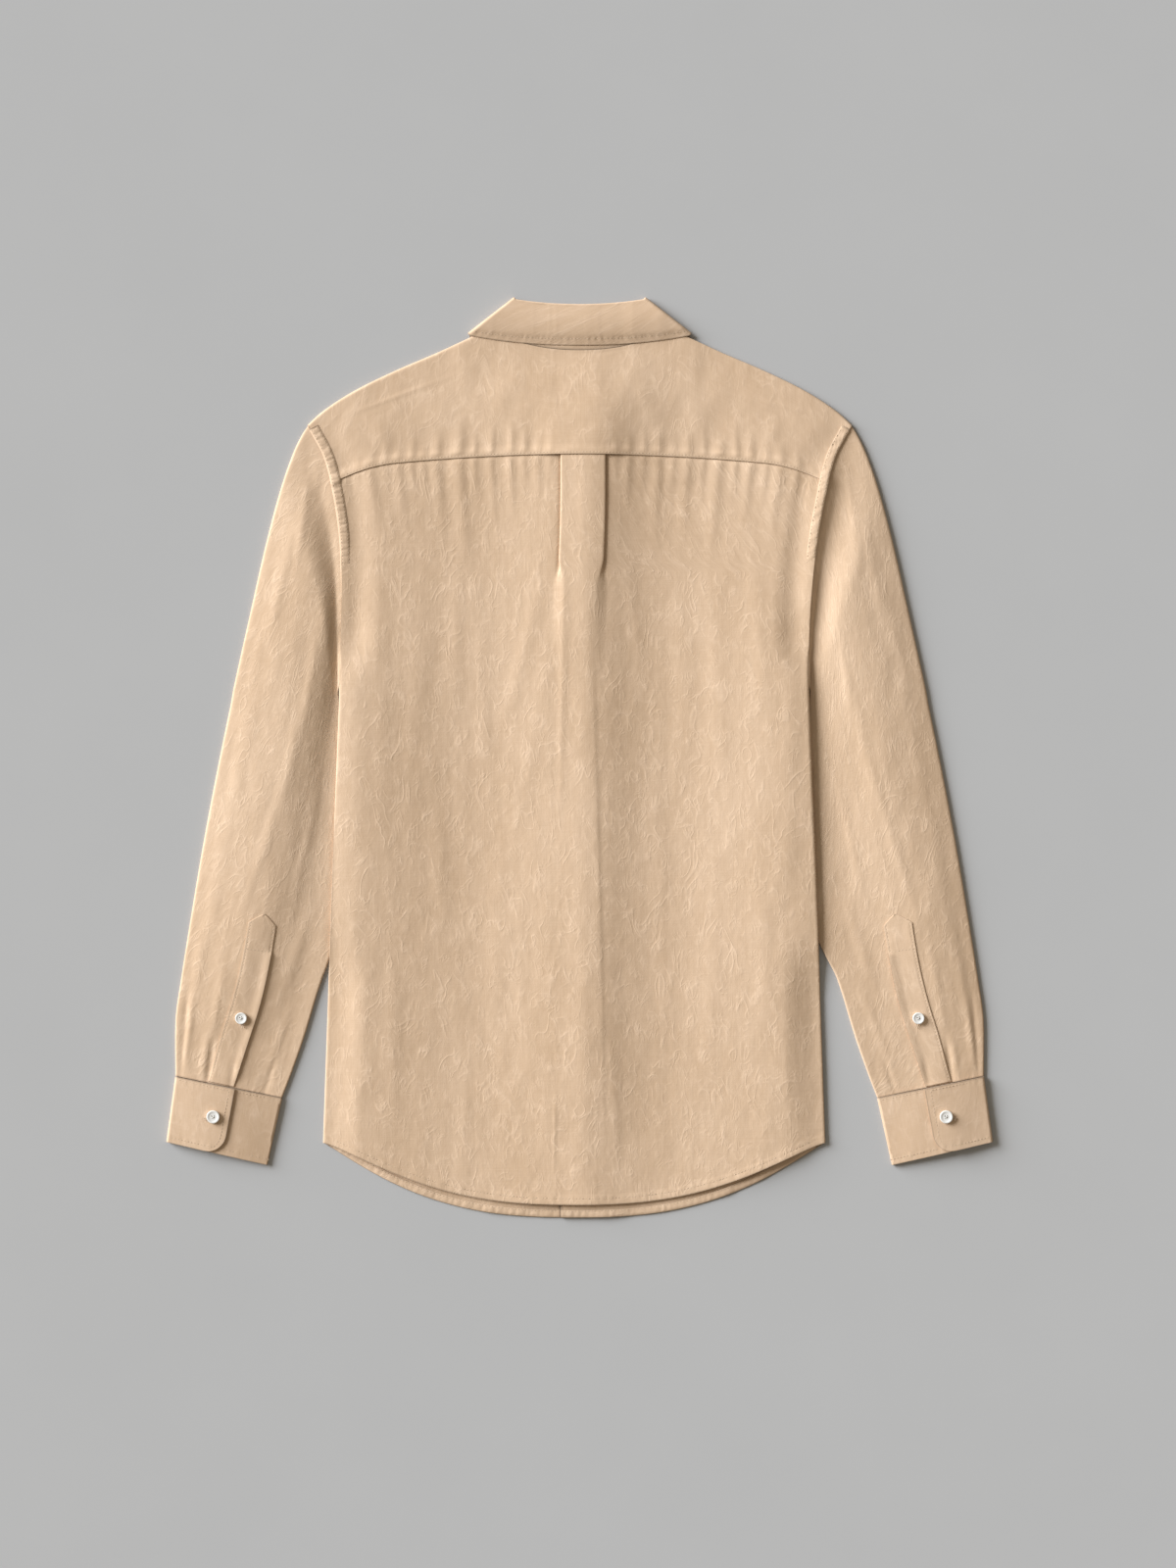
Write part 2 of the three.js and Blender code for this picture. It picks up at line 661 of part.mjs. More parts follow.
const PLACKET_STEPS = 9;

// The upper layer of a sleeve as a surface of v and w.
function sleeveTop(side) {
  const stops = armholeLoop(side);
  const places = placesAcross(stops);
  const count = stops.findIndex((s) => s.height < 1);
  return (v, w) => {
    let i = count - 2;
    while (i > 0 && places[i] < w) i -= 1;
    const t = clamp((w - places[i]) / (places[i + 1] - places[i]), 0, 1);
    const atArmhole = { x: mix(stops[i].x, stops[i + 1].x, t), y: mix(stops[i].y, stops[i + 1].y, t) };
    const plan = sleevePlan(v, w, atArmhole, side);
    return point(plan.x, plan.y, upperZ(v, w));
  };
}

const placketBand = (t) => ({
  v: mix(SLEEVE_PLACKET.bottom.v, SLEEVE_PLACKET.top.v, t),
  middle: SLEEVE_PLACKET.middle.reduce((sum, part, power) => sum + part * t ** power, 0),
  skew: SLEEVE_PLACKET.skew * t,
  half: mix(SLEEVE_PLACKET.bottom.half, SLEEVE_PLACKET.top.half, t),
});

function sleevePlacketRows(side) {
  const surface = sleeveTop(side);
  const row = (band) =>
    [-1, -0.5, 0, 0.5, 1].map((q) => {
      const skewed = (q * band.skew * band.half) / SLEEVE_PLACKET.top.half;
      const p = surface(band.v - skewed, band.middle + q * band.half);
      return point(p.x, p.y, p.z + PITCH + 0.15);
    });
  const rows = [];
  for (let i = 0; i <= PLACKET_STEPS; i += 1) rows.push(row(placketBand(i / PLACKET_STEPS)));
  const top = placketBand(1);
  rows.push(row({ ...top, v: top.v - SLEEVE_PLACKET.point * 0.6, half: top.half * 0.55 }));
  rows.push(row({ ...top, v: top.v - SLEEVE_PLACKET.point, half: top.half * 0.12 }));
  return rows;
}

// ---- Cuffs -------------------------------------------------------------------------------------

const CUFF_ROWS = [0, 0.25, 0.5, 0.7, 0.78, 0.86, 0.93, 0.98, 1];
const CUFF_HALF = CUFF_WALL / 2;
const CUFF_PITCH = CUFF_WALL + SEAM;

function cuffPlan(share, depth, side) {
  const on = (k) =>
    mix(
      mix(CUFF.topOuter[k], CUFF.topInner[k], share),
      mix(CUFF.bottomOuter[k], CUFF.bottomInner[k], share),
      depth,
    );
  return { x: side * on("x"), y: on("y") };
}

const spanOf = (a, b) => Math.hypot(a.x - b.x, a.y - b.y);

// One row round the cuff: the end below, the inner fold, the under side, the outer fold, the flap.
function cuffRow(depth, side) {
  const width = spanOf(cuffPlan(0, depth, 1), cuffPlan(1, depth, 1));
  const toBottom = (1 - depth) * spanOf(CUFF.topOuter, CUFF.bottomOuter);
  const r = CUFF.cornerRadius;
  const rounded = toBottom < r ? r - Math.sqrt(r * r - (r - toBottom) ** 2) : 0;
  const flapEnd = CUFF.flap * width - rounded;
  const low = CUFF_HALF;
  const path = [0.3, 0.45, 0.6, 0.75, 0.9].map((s) => ({ s: s * width, z: low + CUFF_PITCH }));
  for (const a of [90, 0, -90]) {
    const s = width - CUFF_HALF - (CUFF_PITCH / 2) * (1 - cosine(a));
    path.push({ s, z: low + (CUFF_PITCH / 2) * (1 + sine(a)) });
  }
  for (const s of [0.7, 0.35]) path.push({ s: s * width, z: low });
  for (const a of [-90, -40, 0, 40, 90]) {
    path.push({ s: CUFF_HALF + CUFF_PITCH * (1 - cosine(a)), z: low + CUFF_PITCH * (1 + sine(a)) });
  }
  for (const q of [0.3, 0.65, 1]) {
    path.push({ s: mix(CUFF_HALF + CUFF_PITCH, flapEnd, q), z: low + 2 * CUFF_PITCH });
  }
  return path.map((p) => {
    const plan = cuffPlan(p.s / width, depth, side);
    return point(plan.x, plan.y, p.z);
  });
}

// ---- Collar ------------------------------------------------------------------------------------

const COLLAR = {
  standTop: { x: 56, y: 395.8, rise: 4.6 }, // upper edge of the stand behind the neck
  standFront: { x: -13, y: 309 }, // its end at the front, past the middle
  standPull: { x: 54, y: 340 },
  standNeck: 79, // where the neck seam turns to the front
  leafBack: { x: 96.5, y: 361.8, rise: 10.2 }, // lower edge of the leaf behind the neck
  leafPull: { x: 96, y: 318 },
  leafPoint: { x: 74, y: 262 },
  leafStart: 0.29, // share along the stand's front at which the leaf starts
  roll: 1.6, // the leaf rises this far between its fold and its edge
};
const COLLAR_BACK = 6; // columns from the middle of the back to a side fold
const STAND_END = -15;
const LEAF_ROWS = [0, 0.16, 0.4, 0.7, 0.94];
const FOLD_ANGLES = [60, 20, -20, -60];
const LEAF_ROUND = 2.2;

const standBack = (q) => ({
  x: COLLAR.standTop.x * q,
  y: COLLAR.standTop.y + COLLAR.standTop.rise * q * q,
});
const standFront = (q) => bend(COLLAR.standFront, COLLAR.standPull, standBack(1), q);
const leafBack = (q) => ({
  x: COLLAR.leafBack.x * q,
  y: COLLAR.leafBack.y + COLLAR.leafBack.rise * q ** 2.2,
});
const leafFront = (q) => bend(COLLAR.leafPoint, COLLAR.leafPull, leafBack(1), q);

const standBackZ = (x) => backSurface(x, neckBack(x) - SEAM);
// The stand's ends lie on each other over the collar button; x grows away from the middle.
const standFrontZ = (x, side) => {
  const lift = side < 0 ? leftFrontLift : rightFrontLift;
  return HALF + lift(side * Math.max(0, x), NECK_FRONT_Y);
};
const standTopZ = (x, side) =>
  mix(standFrontZ(0, side), HALF + POINT_LIFT, ramp(20, 34, x));

// Rows of both collar pieces start at the left front end, pass behind the neck and end at the
// right front end. build(part, value, side) makes one column of points.
function collarColumns(build) {
  const half = (side) => {
    const columns = [];
    for (let i = 0; i < COLLAR_BACK; i += 1) columns.push(build("back", i / COLLAR_BACK, side));
    columns.push(build("fold", 90, side));
    for (const angle of FOLD_ANGLES) columns.push(build("fold", angle, side));
    columns.push(build("fold", -90, side));
    for (const x of [...NECK_COLUMNS.slice(1), 0, STAND_END]) {
      columns.push(build("front", (x - STAND_END) / (COLLAR.standNeck - STAND_END), side));
    }
    return columns;
  };
  return [...half(-1).slice(1).reverse(), ...half(1)];
}

function standColumn(part, value, side) {
  const neck = COLLAR.standNeck;
  let low = { x: neck, y: neckBack(neck) };
  let high = standBack(1);
  let lowZ = standBackZ(neck);
  let highZ = lowZ;
  if (part === "back") {
    low = { x: neck * value, y: neckBack(neck * value) };
    high = standBack(value);
    lowZ = standBackZ(low.x);
    highZ = lowZ;
  } else if (part === "front") {
    const x = mix(STAND_END, neck, value);
    low = { x, y: frontNeck(x) };
    high = standFront(value);
    lowZ = standFrontZ(x, side);
    highZ = standTopZ(high.x, side);
  } else {
    const up = (1 + sine(value)) / 2;
    const frontY = frontNeck(neck);
    low = {
      x: neck + 0.5 * cosine(value),
      y: mix(frontY, neckBack(neck) + 0.7 * cosine(value), ramp(0.05, 0.3, up)),
    };
    high = { x: high.x + 0.5 * cosine(value), y: high.y + 0.6 * cosine(value) };
    lowZ = mix(standFrontZ(neck, side), standBackZ(neck), up);
    highZ = lowZ;
  }
  return [0, 0.33, 0.67, 1].map((t) =>
    point(side * mix(low.x, high.x, t), mix(low.y, high.y, t), mix(lowZ, highZ, t)),
  );
}

function leafColumn(part, value, side) {
  let edge = leafBack(1);
  let fold = standBack(1);
  let up = 1;
  if (part === "back") {
    edge = leafBack(value);
    fold = standBack(value);
  } else if (part === "front") {
    edge = leafFront(value);
    fold = standFront(mix(COLLAR.leafStart, 1, value));
    up = 0;
  } else {
    up = (1 + sine(value)) / 2;
  }
  const away = { x: fold.x - edge.x, y: fold.y - edge.y };
  const length = Math.hypot(away.x, away.y);
  const dir = { x: away.x / length, y: away.y / length };
  // Outward from the side fold, at a right angle to it.
  const out = part === "fold" ? { x: dir.y, y: -dir.x } : { x: 0, y: 0 };
  const reach = part === "fold" ? 2.8 - HALF - LEAF_ROUND * (1 - cosine(value)) : 0;
  const place = (along, z) =>
    point(
      side * (edge.x + dir.x * along + out.x * reach),
      edge.y + dir.y * along + out.y * reach,
      z,
    );
  const upperAt = (along) => {
    const x = edge.x + dir.x * along;
    const y = Math.min(edge.y + dir.y * along, neckBack(Math.min(x, NECK_HALF)) - SEAM);
    const inside = Math.min(y, shoulderFold(x) - HALF - SHOULDER_ROUND);
    const bulge = COLLAR.roll * Math.sin((Math.PI * clamp(along, 0, length)) / length);
    return backSurface(x, inside) + PITCH + 0.1 + bulge;
  };
  const height = (along) => mix(HALF, upperAt(along), up);
  const neckX = COLLAR.standNeck * (part === "back" ? value : 1);
  const standZ = mix(standTopZ(fold.x, side), standBackZ(neckX), up);
  const column = LEAF_ROWS.map((t) => place(t * length, height(t * length)));
  const topZ = mix(HALF, Math.max(standZ + PITCH, upperAt(length)), up);
  column.push(place(length + 0.9, topZ));
  column.push(place(length + 1.9, (topZ + standZ) / 2));
  column.push(place(length + 1.5, standZ));
  return column;
}

// ---- Buttons -----------------------------------------------------------------------------------

const BUTTON_SIDES = 12;

function button(size) {
  const { radius, thick, rim } = size;
  const profile = [
    [0, 0],
    [radius, 0],
    [radius, thick],
    [radius - rim, thick],
    [radius - rim - 0.7, thick - 0.7],
    [0, thick - 0.7],
  ].map(([x, y]) => new THREE.Vector2(x, y));
  const turned = new THREE.LatheGeometry(profile, BUTTON_SIDES).toNonIndexed();
  turned.rotateX(Math.PI / 2);
  return welded([...turned.getAttribute("position").array]);
}

// ---- The shirt ---------------------------------------------------------------------------------

const shirt = new THREE.Group();
const cloth = () =>
  new THREE.MeshStandardMaterial({ color: 0xd8b994, roughness: 0.9, metalness: 0 });
const plastic = () =>
  new THREE.MeshStandardMaterial({ color: 0xf2f0ea, roughness: 0.35, metalness: 0 });

function add(name, geometry, material = cloth()) {
  const mesh = new THREE.Mesh(geometry, material);
  mesh.name = name;
  shirt.add(mesh);
  return mesh;
}

function addButton(name, size, x, y, z) {
  add(name, button(size).translate(x, y, z), plastic());
}

const SIDES = [
  { name: "left", side: -1 },
  { name: "right", side: 1 },
];

add("back", wall(BACK_STOPS.map(backRow), CLOTH));
add("yoke", wall(yokeRows(), CLOTH));
add("front_placket", wall(PLACKET_ROWS.map(placketRow), CLOTH));
add("collar_stand", wall(collarColumns(standColumn), CLOTH));
add("collar_leaf", wall(collarColumns(leafColumn), CLOTH));

for (const { name, side } of SIDES) {
  add(`front_${name}`, wall(FRONT_STOPS.map((stop) => frontRow(stop, side)), CLOTH));
  add(`sleeve_${name}`, wall(sleeveRows(side), CLOTH));
  add(`sleeve_placket_${name}`, wall(sleevePlacketRows(side), CLOTH));
  add(`cuff_${name}`, wall(CUFF_ROWS.map((depth) => cuffRow(depth, side)), CUFF_WALL));
  const onCuff = cuffPlan(0.41, 0.47, side);
  addButton(`cuff_button_${name}`, BUTTON, onCuff.x, onCuff.y, CUFF_WALL + 2 * CUFF_PITCH + SEAM);
  const band = placketBand(0.41);
  const onBand = sleeveTop(side)(band.v, band.middle);
  const bandTop = onBand.z + PITCH + 0.15 + HALF + 0.6;
  addButton(`sleeve_button_${name}`, SMALL_BUTTON, onBand.x, onBand.y, bandTop);
}

addButton("collar_button", BUTTON, 0, COLLAR_BUTTON_Y, 0);
for (let i = 0; i < FRONT_BUTTONS; i += 1) {
  addButton(`front_button_${i + 1}`, BUTTON, 0, FIRST_FRONT_BUTTON - i * FRONT_BUTTON_PITCH, 0);
}

export default shirt;
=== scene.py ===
"""A long-sleeve linen shirt, buttoned and laid flat with its back up: cloth, sewing, buttons and finish.

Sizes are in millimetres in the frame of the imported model: +X across the shirt, +Y from hem to collar,
+Z up from the surface it lies on. They become metres when a mesh is made.
"""

import logging
import math
from dataclasses import dataclass, field
from enum import Enum
from typing import Callable, Sequence

import bpy
import numpy as np
from mathutils import Matrix, Vector


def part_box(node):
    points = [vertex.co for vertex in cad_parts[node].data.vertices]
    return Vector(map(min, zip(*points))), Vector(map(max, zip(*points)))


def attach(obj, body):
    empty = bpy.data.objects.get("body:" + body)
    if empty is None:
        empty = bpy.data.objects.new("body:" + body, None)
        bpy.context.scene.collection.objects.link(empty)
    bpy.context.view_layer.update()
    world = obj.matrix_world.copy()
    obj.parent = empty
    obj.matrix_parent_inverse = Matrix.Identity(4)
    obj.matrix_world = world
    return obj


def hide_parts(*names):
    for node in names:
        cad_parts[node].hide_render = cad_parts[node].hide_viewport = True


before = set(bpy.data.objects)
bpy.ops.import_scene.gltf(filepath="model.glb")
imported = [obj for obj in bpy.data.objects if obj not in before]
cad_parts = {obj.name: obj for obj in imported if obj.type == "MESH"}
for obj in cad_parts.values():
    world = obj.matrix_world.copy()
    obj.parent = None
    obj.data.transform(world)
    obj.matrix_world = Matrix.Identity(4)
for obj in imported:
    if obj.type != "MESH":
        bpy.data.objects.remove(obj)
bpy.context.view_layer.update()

LOG = logging.getLogger("shirt")
Array = np.ndarray
Piece = bpy.types.Object
Socket = bpy.types.NodeSocket
Colour = tuple[float, float, float]
Curved = Callable[[Array], Array]

MM = 0.001
SHELL = 0.8  # one layer of the dressed cloth
SHELL_HALF = SHELL / 2
CUFF_SHELL = 1.2  # interlined cuffs
FRONTS = ["front_left_panel", "front_right_panel"]  # what the back and the yoke rest on


class Side(Enum):
    """The wearer's left and right, as signs along X."""

    LEFT = -1
    RIGHT = 1

    @property
    def word(self) -> str:
        """The side's name as node names end with it."""
        return self.name.lower()


class Hold(Enum):
    """How a sheet of cloth lies."""

    LAID = "laid"
    FOLDED = "folded"


# ---- Small functions ----------------------------------------------------------------------------


def mix(a: Array, b: Array, t: Array) -> Array:
    """Returns the value a share t of the way from a to b."""
    return a + (b - a) * t


def ramp(low: float, high: float, value: Array) -> Array:
    """Returns 0 below low and 1 above high, with a smooth ramp between."""
    t = np.clip((value - low) / (high - low), 0, 1)
    return t * t * (3 - 2 * t)


def bell(distance: Array, width: float) -> Array:
    """Returns a soft bump, 1 at no distance and small beyond its width."""
    return np.exp(-((distance / width) ** 2))


def steps(low: float, high: float, pitch: float) -> Array:
    """Returns evenly spaced values from low to high, about pitch apart."""
    return np.linspace(low, high, max(2, int(round(abs(high - low) / pitch)) + 1))


def joined(*runs: Array) -> Array:
    """Returns runs of values as one, without the value that each shares with the one before."""
    return np.concatenate([runs[0], *[run[1:] for run in runs[1:]]])


def points_of(*axes: Array) -> Array:
    """Returns points from arrays of their coordinates, all stretched to one shape."""
    return np.stack(np.broadcast_arrays(*axes), -1)


def travelled(points: Array, axis: int = 0) -> Array:
    """Returns how far each point lies along its column of points, or with axis 1 along its row."""
    gaps = np.diff(points, axis=axis, prepend=np.take(points, [0], axis))
    return np.linalg.norm(gaps, axis=-1).cumsum(axis)


def on_cloth(across: Array, along: Array, start: tuple[float, float] = (0.0, 0.0)) -> Array:
    """Returns places on the flat cloth in metres, from millimetres across and along it."""
    return points_of(across, along) * MM + np.array(start)


class Curve:
    """A smooth curve through a few rows of (place, value)."""

    def __init__(self, *rows: tuple[float, float]) -> None:
        """Sorts the rows and works out the slope at each.

        Args:
            rows: the places and the values there.
        """
        self.at, self.value = np.array(sorted(rows), float).T
        before = np.maximum(np.arange(len(rows)) - 1, 0)
        after = np.minimum(np.arange(len(rows)) + 1, len(rows) - 1)
        rise = self.value[after] - self.value[before]
        self.slope = rise / (self.at[after] - self.at[before])

    def __call__(self, at: Array) -> Array:
        """Returns the curve's value at each place; past its ends it stays level."""
        v = np.clip(at, self.at[0], self.at[-1])
        i = np.clip(np.searchsorted(self.at, v) - 1, 0, len(self.at) - 2)
        span = self.at[i + 1] - self.at[i]
        t = (v - self.at[i]) / span
        t2, t3 = t * t, t * t * t
        level = (2 * t3 - 3 * t2 + 1) * self.value[i] + (t3 - 2 * t2 + t) * span * self.slope[i]
        return level + (3 * t2 - 2 * t3) * self.value[i + 1] + (t3 - t2) * span * self.slope[i + 1]


# ---- The cut as it lies -------------------------------------------------------------------------


@dataclass(frozen=True)
class Pattern:
    """Outlines of the shirt as it lies, and the heights at which its layers rest."""

    cloth: float = 1.2  # a layer of the solids
    seam: float = 0.3
    armpit: float = 63.0
    side_end: float = -338.0
    body_lean: float = -4.8
    back_hem_drop: float = 54.0
    front_hem_drop: float = 65.5
    hem_reach: float = 220.0
    yoke_seam_y: float = 267.0
    yoke_wrap: float = 14.0
    neck_half: float = 80.0
    neck_back_y: float = 357.5
    neck_side_y: float = 375.5
    neck_front_y: float = 285.0
    pleat_middle: float = 3.0
    pleat_half: float = 19.0
    pleat_tuck: float = 12.0
    pleat_end: float = 150.0
    placket_half: float = 17.0
    placket_bottom: float = 2.5
    tuck_lift: float = 3.9
    point_lift: float = 1.6
    armhole_stands: tuple[float, float] = (1.7, 3.3)  # how far the left and right ones stand up
    armhole_gap: float = 1.6
    side_fold: float = 1.5  # height of the side folds
    side_round: float = 0.8
    side: Curve = Curve(
        (292, 239), (264, 224), (236, 216.5), (190, 209),
        (132, 205.5), (63, 206), (-109, 212.5), (-338, 220.5),
    )
    shoulder: Curve = Curve(
        (0, 398), (62, 384), (97, 368), (125, 355.2), (164, 338.4), (199, 321), (225, 304), (241.5, 289)
    )

    @property
    def half(self) -> float:
        """Half of one layer."""
        return self.cloth / 2

    @property
    def pitch(self) -> float:
        """From one layer's middle to the next one's."""
        return self.cloth + self.seam

    def lean(self, y: Array) -> Array:
        """Returns how far the body lies to one side at a height y."""
        return self.body_lean * (1 - ramp(70, 236, y))

    def edge(self, y: Array, side: int) -> Array:
        """Returns x of the body's edge, its armhole seam or side fold."""
        return self.lean(y) + side * self.side(y)

    def side_seam(self, y: Array) -> Array:
        """Returns 1 where front and back join at a side fold, and 0 along the armholes."""
        return 1 - ramp(self.armpit, self.armpit + 40, y)

    def hem(self, x: Array, drop: float, fullness: float) -> Array:
        """Returns y of a curved hem.

        Args:
            x: places across the shirt.
            drop: how far its middle lies below its corners.
            fullness: above 1, the curve is fuller.
        """
        share = np.clip(np.abs(x - self.lean(self.side_end)) / self.hem_reach, 0, 1)
        return self.side_end - drop * (1 - share**2.6) ** fullness

    def back_hem(self, x: Array) -> Array:
        """Returns y of the back's hem."""
        return self.hem(x, self.back_hem_drop, 1.3)

    def front_hem(self, x: Array) -> Array:
        """Returns y of the fronts' hem."""
        return self.hem(x, self.front_hem_drop, 1.1)

    def yoke_seam(self, x: Array) -> Array:
        """Returns y of the seam between yoke and back."""
        away = np.abs(x)
        return self.yoke_seam_y - 11 * (away / 193) ** 2 - 12 * (np.maximum(0, away - 160) / 58) ** 2

    def shoulder_fold(self, x: Array) -> Array:
        """Returns y of the outer edge of the shoulders."""
        return self.shoulder(np.abs(x))

    def neck_back(self, x: Array) -> Array:
        """Returns y of the neck seam behind the neck."""
        rise = self.neck_side_y - self.neck_back_y
        return self.neck_back_y + rise * (np.abs(x) / self.neck_half) ** 2.2

    def yoke_top(self, x: Array) -> Array:
        """Returns y of the yoke's upper end, at the neck seam or the shoulder."""
        at_neck = np.abs(x) <= self.neck_half
        return np.where(at_neck, self.neck_back(x) - self.seam, self.shoulder_fold(x))

    def front_neck(self, x: Array) -> Array:
        """Returns y of the neck seam at the front."""
        return self.neck_front_y + 77 * (np.clip(np.abs(x), 0, self.neck_half) / self.neck_half) ** 2.6

    def front_top(self, x: Array) -> Array:
        """Returns y of the fronts' upper end."""
        at_neck = np.abs(x) <= self.neck_half
        wrap = self.shoulder_fold(x) - self.yoke_wrap
        return np.where(at_neck, self.front_neck(x), wrap) - self.seam

    def in_from_edge(self, x: Array, y: Array) -> Array:
        """Returns how far a point lies in from the body's nearer edge."""
        return np.minimum(x - self.edge(y, -1), self.edge(y, 1) - x)

    def over_sleeve(self, y: Array) -> Array:
        """Returns 1 where the body's side lies on a sleeve's fold, and 0 above and below."""
        return (1 - ramp(60, 115, y)) * ramp(-215, -150, y)

    def front_lift(self, x: Array, y: Array) -> Array:
        """Returns how high the fronts ride over the sleeves' folds and the collar's points."""
        side = self.tuck_lift * self.over_sleeve(y) * (1 - ramp(9, 48, self.in_from_edge(x, y)))
        points = self.point_lift * (1 - ramp(100, 128, np.abs(x))) * ramp(222, 250, y)
        return np.maximum(side, points)

    def placket_lift(self, x: Array, height: float) -> Array:
        """Returns how high the shirt's middle rides over its buttons."""
        return height * (1 - ramp(self.placket_half + 8, 48, np.abs(x)))

    def held_up(self, y: Array) -> Array:
        """Returns 1 where the buttons hold the shirt's middle up, and 0 at the hem."""
        return ramp(-388, -240, y)

    def front_side_lift(self, x: Array, y: Array, side: int) -> Array:
        """Returns the lift of one front; the right one also lies on the left one's placket."""
        height = self.placket_bottom * self.held_up(y) + (self.pitch if side > 0 else 0)
        return np.maximum(self.front_lift(x, y), self.placket_lift(x, height))

    def fold_inset(self, y: Array) -> Array:
        """Returns how far in from the outline the middle of the cloth lies at a side fold."""
        return self.half * ramp(0, 0.3, self.side_seam(y))

    def from_rim(self, x: Array, y: Array) -> Array:
        """Returns the distance in from the rim of a panel."""
        return np.maximum(0, self.in_from_edge(x, y) - self.fold_inset(y))

    def armhole_height(self, x: Array, y: Array) -> Array:
        """Returns the height of the body's cloth at its armhole seam; it stands up below the shoulder."""
        stands = mix(*self.armhole_stands, np.asarray(x) > 0)
        return self.half + self.cloth + self.armhole_gap + stands * (1 - ramp(225, 286, y)) * ramp(45, 150, y)

    def meet_edge(self, curve: Curved, side: int) -> tuple[Array, Array]:
        """Finds where rows of a panel meet the body's edge.

        Args:
            curve: gives y of each row at its own x.
            side: which edge.

        Returns:
            x and y of each row's end.
        """
        y = curve(np.array(side * 220.0))
        for _ in range(30):
            y = mix(y, curve(self.edge(y, side)), 0.5)
        return self.edge(y, side), y


CUT = Pattern()


# ---- Creases ------------------------------------------------------------------------------------


@dataclass(frozen=True)
class Crease:
    """A soft ridge, or with a negative height a trough, pressed or worn into the cloth.

    It is centred at (x, y), turn is degrees from upright towards +X, bow is how far its middle lies
    aside of its ends, and a lean above 0 makes its +X side the steeper one.
    """

    x: float
    y: float
    length: float
    width: float
    height: float
    turn: float = 0.0
    bow: float = 0.0
    lean: float = 0.0


class Relief:
    """Heights of creases over a stretch of cloth, kept on a fine even grid."""

    def __init__(self, low: tuple[float, float], high: tuple[float, float], step: float = 1.0) -> None:
        """Starts flat.

        Args:
            low: the lowest corner of the stretch.
            high: its highest corner.
            step: the grid's spacing.
        """
        self.low, self.step = np.array(low, float), step
        self.x = np.arange(low[0], high[0] + step, step)
        self.y = np.arange(low[1], high[1] + step, step)
        self.z = np.zeros((len(self.y), len(self.x)))

    def add(self, *creases: Crease) -> "Relief":
        """Adds creases and returns the relief."""
        for c in creases:
            reach = c.length / 2 + 3 * c.width + abs(c.bow)
            columns = slice(*np.searchsorted(self.x, [c.x - reach, c.x + reach]))
            rows = slice(*np.searchsorted(self.y, [c.y - reach, c.y + reach]))
            dx, dy = np.meshgrid(self.x[columns] - c.x, self.y[rows] - c.y)
            a = math.radians(c.turn)
            along = (dx * math.sin(a) + dy * math.cos(a)) / (c.length / 2)
            across = dx * math.cos(a) - dy * math.sin(a) - c.bow * (1 - along**2)
            across = across * np.where(across > 0, 1 + c.lean, 1 - c.lean * 0.5)
            fade = np.cos(np.clip(along, -1, 1) * math.pi / 2) ** 1.3
            self.z[rows, columns] += c.height * fade * bell(across, c.width)
        return self

    def crinkle(
        self,
        seed: int,
        size: tuple[float, float],
        height: float,
        ridged: bool = False,
        share: Curve | None = None,
    ) -> "Relief":
        """Adds uneven small waves.

        Args:
            seed: for the same waves each time.
            size: the waves' size along X and Y.
            height: their height.
            ridged: gives narrow ridges with soft hollows between them.
            share: how much of the height there is at each y.

        Returns:
            The relief.
        """
        rng = np.random.default_rng(seed)
        span = [self.x[-1] - self.x[0], self.y[-1] - self.y[0]]
        counts = [int(s / w) + 4 for s, w in zip(span, size)]
        knots = rng.normal(size=(counts[1], counts[0]))
        u = (self.x - self.x[0]) / size[0] + 1
        v = (self.y - self.y[0]) / size[1] + 1
        waves = self._spline(self._spline(knots, u, 1), v, 0)
        if ridged:
            waves = np.clip(1 - 2 * np.abs(waves), -1, 1)
            waves = waves * np.abs(waves)
        if share is not None:
            waves = waves * share(self.y)[:, None]
        self.z += height * waves
        return self

    @staticmethod
    def _spline(knots: Array, at: Array, axis: int) -> Array:
        """Returns a cubic B-spline through a lattice of knots, sampled along one axis."""
        i = at.astype(int)
        t = at - i
        weights = [(1 - t) ** 3, 3 * t**3 - 6 * t**2 + 4, -3 * t**3 + 3 * t**2 + 3 * t + 1, t**3]
        shape = (-1, 1) if axis == 0 else (1, -1)
        total = 0
        for k, weight in enumerate(weights):
            rows = np.clip(i + k - 1, 0, knots.shape[axis] - 1)
            total = total + np.take(knots, rows, axis) * (weight / 6).reshape(shape)
        return total * 1.9

    def __call__(self, x: Array, y: Array) -> Array:
        """Returns the heights at points of the stretch."""
        u = np.clip((x - self.low[0]) / self.step, 0, len(self.x) - 1.001)
        v = np.clip((y - self.low[1]) / self.step, 0, len(self.y) - 1.001)
        i, j = u.astype(int), v.astype(int)
        s, t = u - i, v - j
        upper = mix(self.z[j + 1, i], self.z[j + 1, i + 1], s)
        return mix(mix(self.z[j, i], self.z[j, i + 1], s), upper, t)


class Puckers:
    """Small ridges at uneven places along a row of stitches."""

    def __init__(self, length: float, pitch: float, seed: int, width: float = 0.28) -> None:
        """Places the ridges.

        Args:
            length: of the row.
            pitch: their mean spacing.
            seed: for the same places each time.
            width: of a ridge, as a share of the spacing.
        """
        rng = np.random.default_rng(seed)
        count = int(length / pitch) + 2
        self.at = (np.arange(count) + rng.uniform(-0.28, 0.28, count)) * pitch
        self.height = rng.uniform(0.35, 1.0, count)
        self.lean = rng.uniform(-0.5, 0.5, count)
        self.width = pitch * width

    def __call__(self, along: Array, away: Array = 0.0) -> Array:
        """Returns the ridges' height along the row; they slant a little with the distance away."""
        place = np.asarray(along)[..., None] - self.at - self.lean * np.asarray(away)[..., None] * 0.3
        return (self.height * bell(place, self.width)).sum(-1)


# ---- Meshes -------------------------------------------------------------------------------------


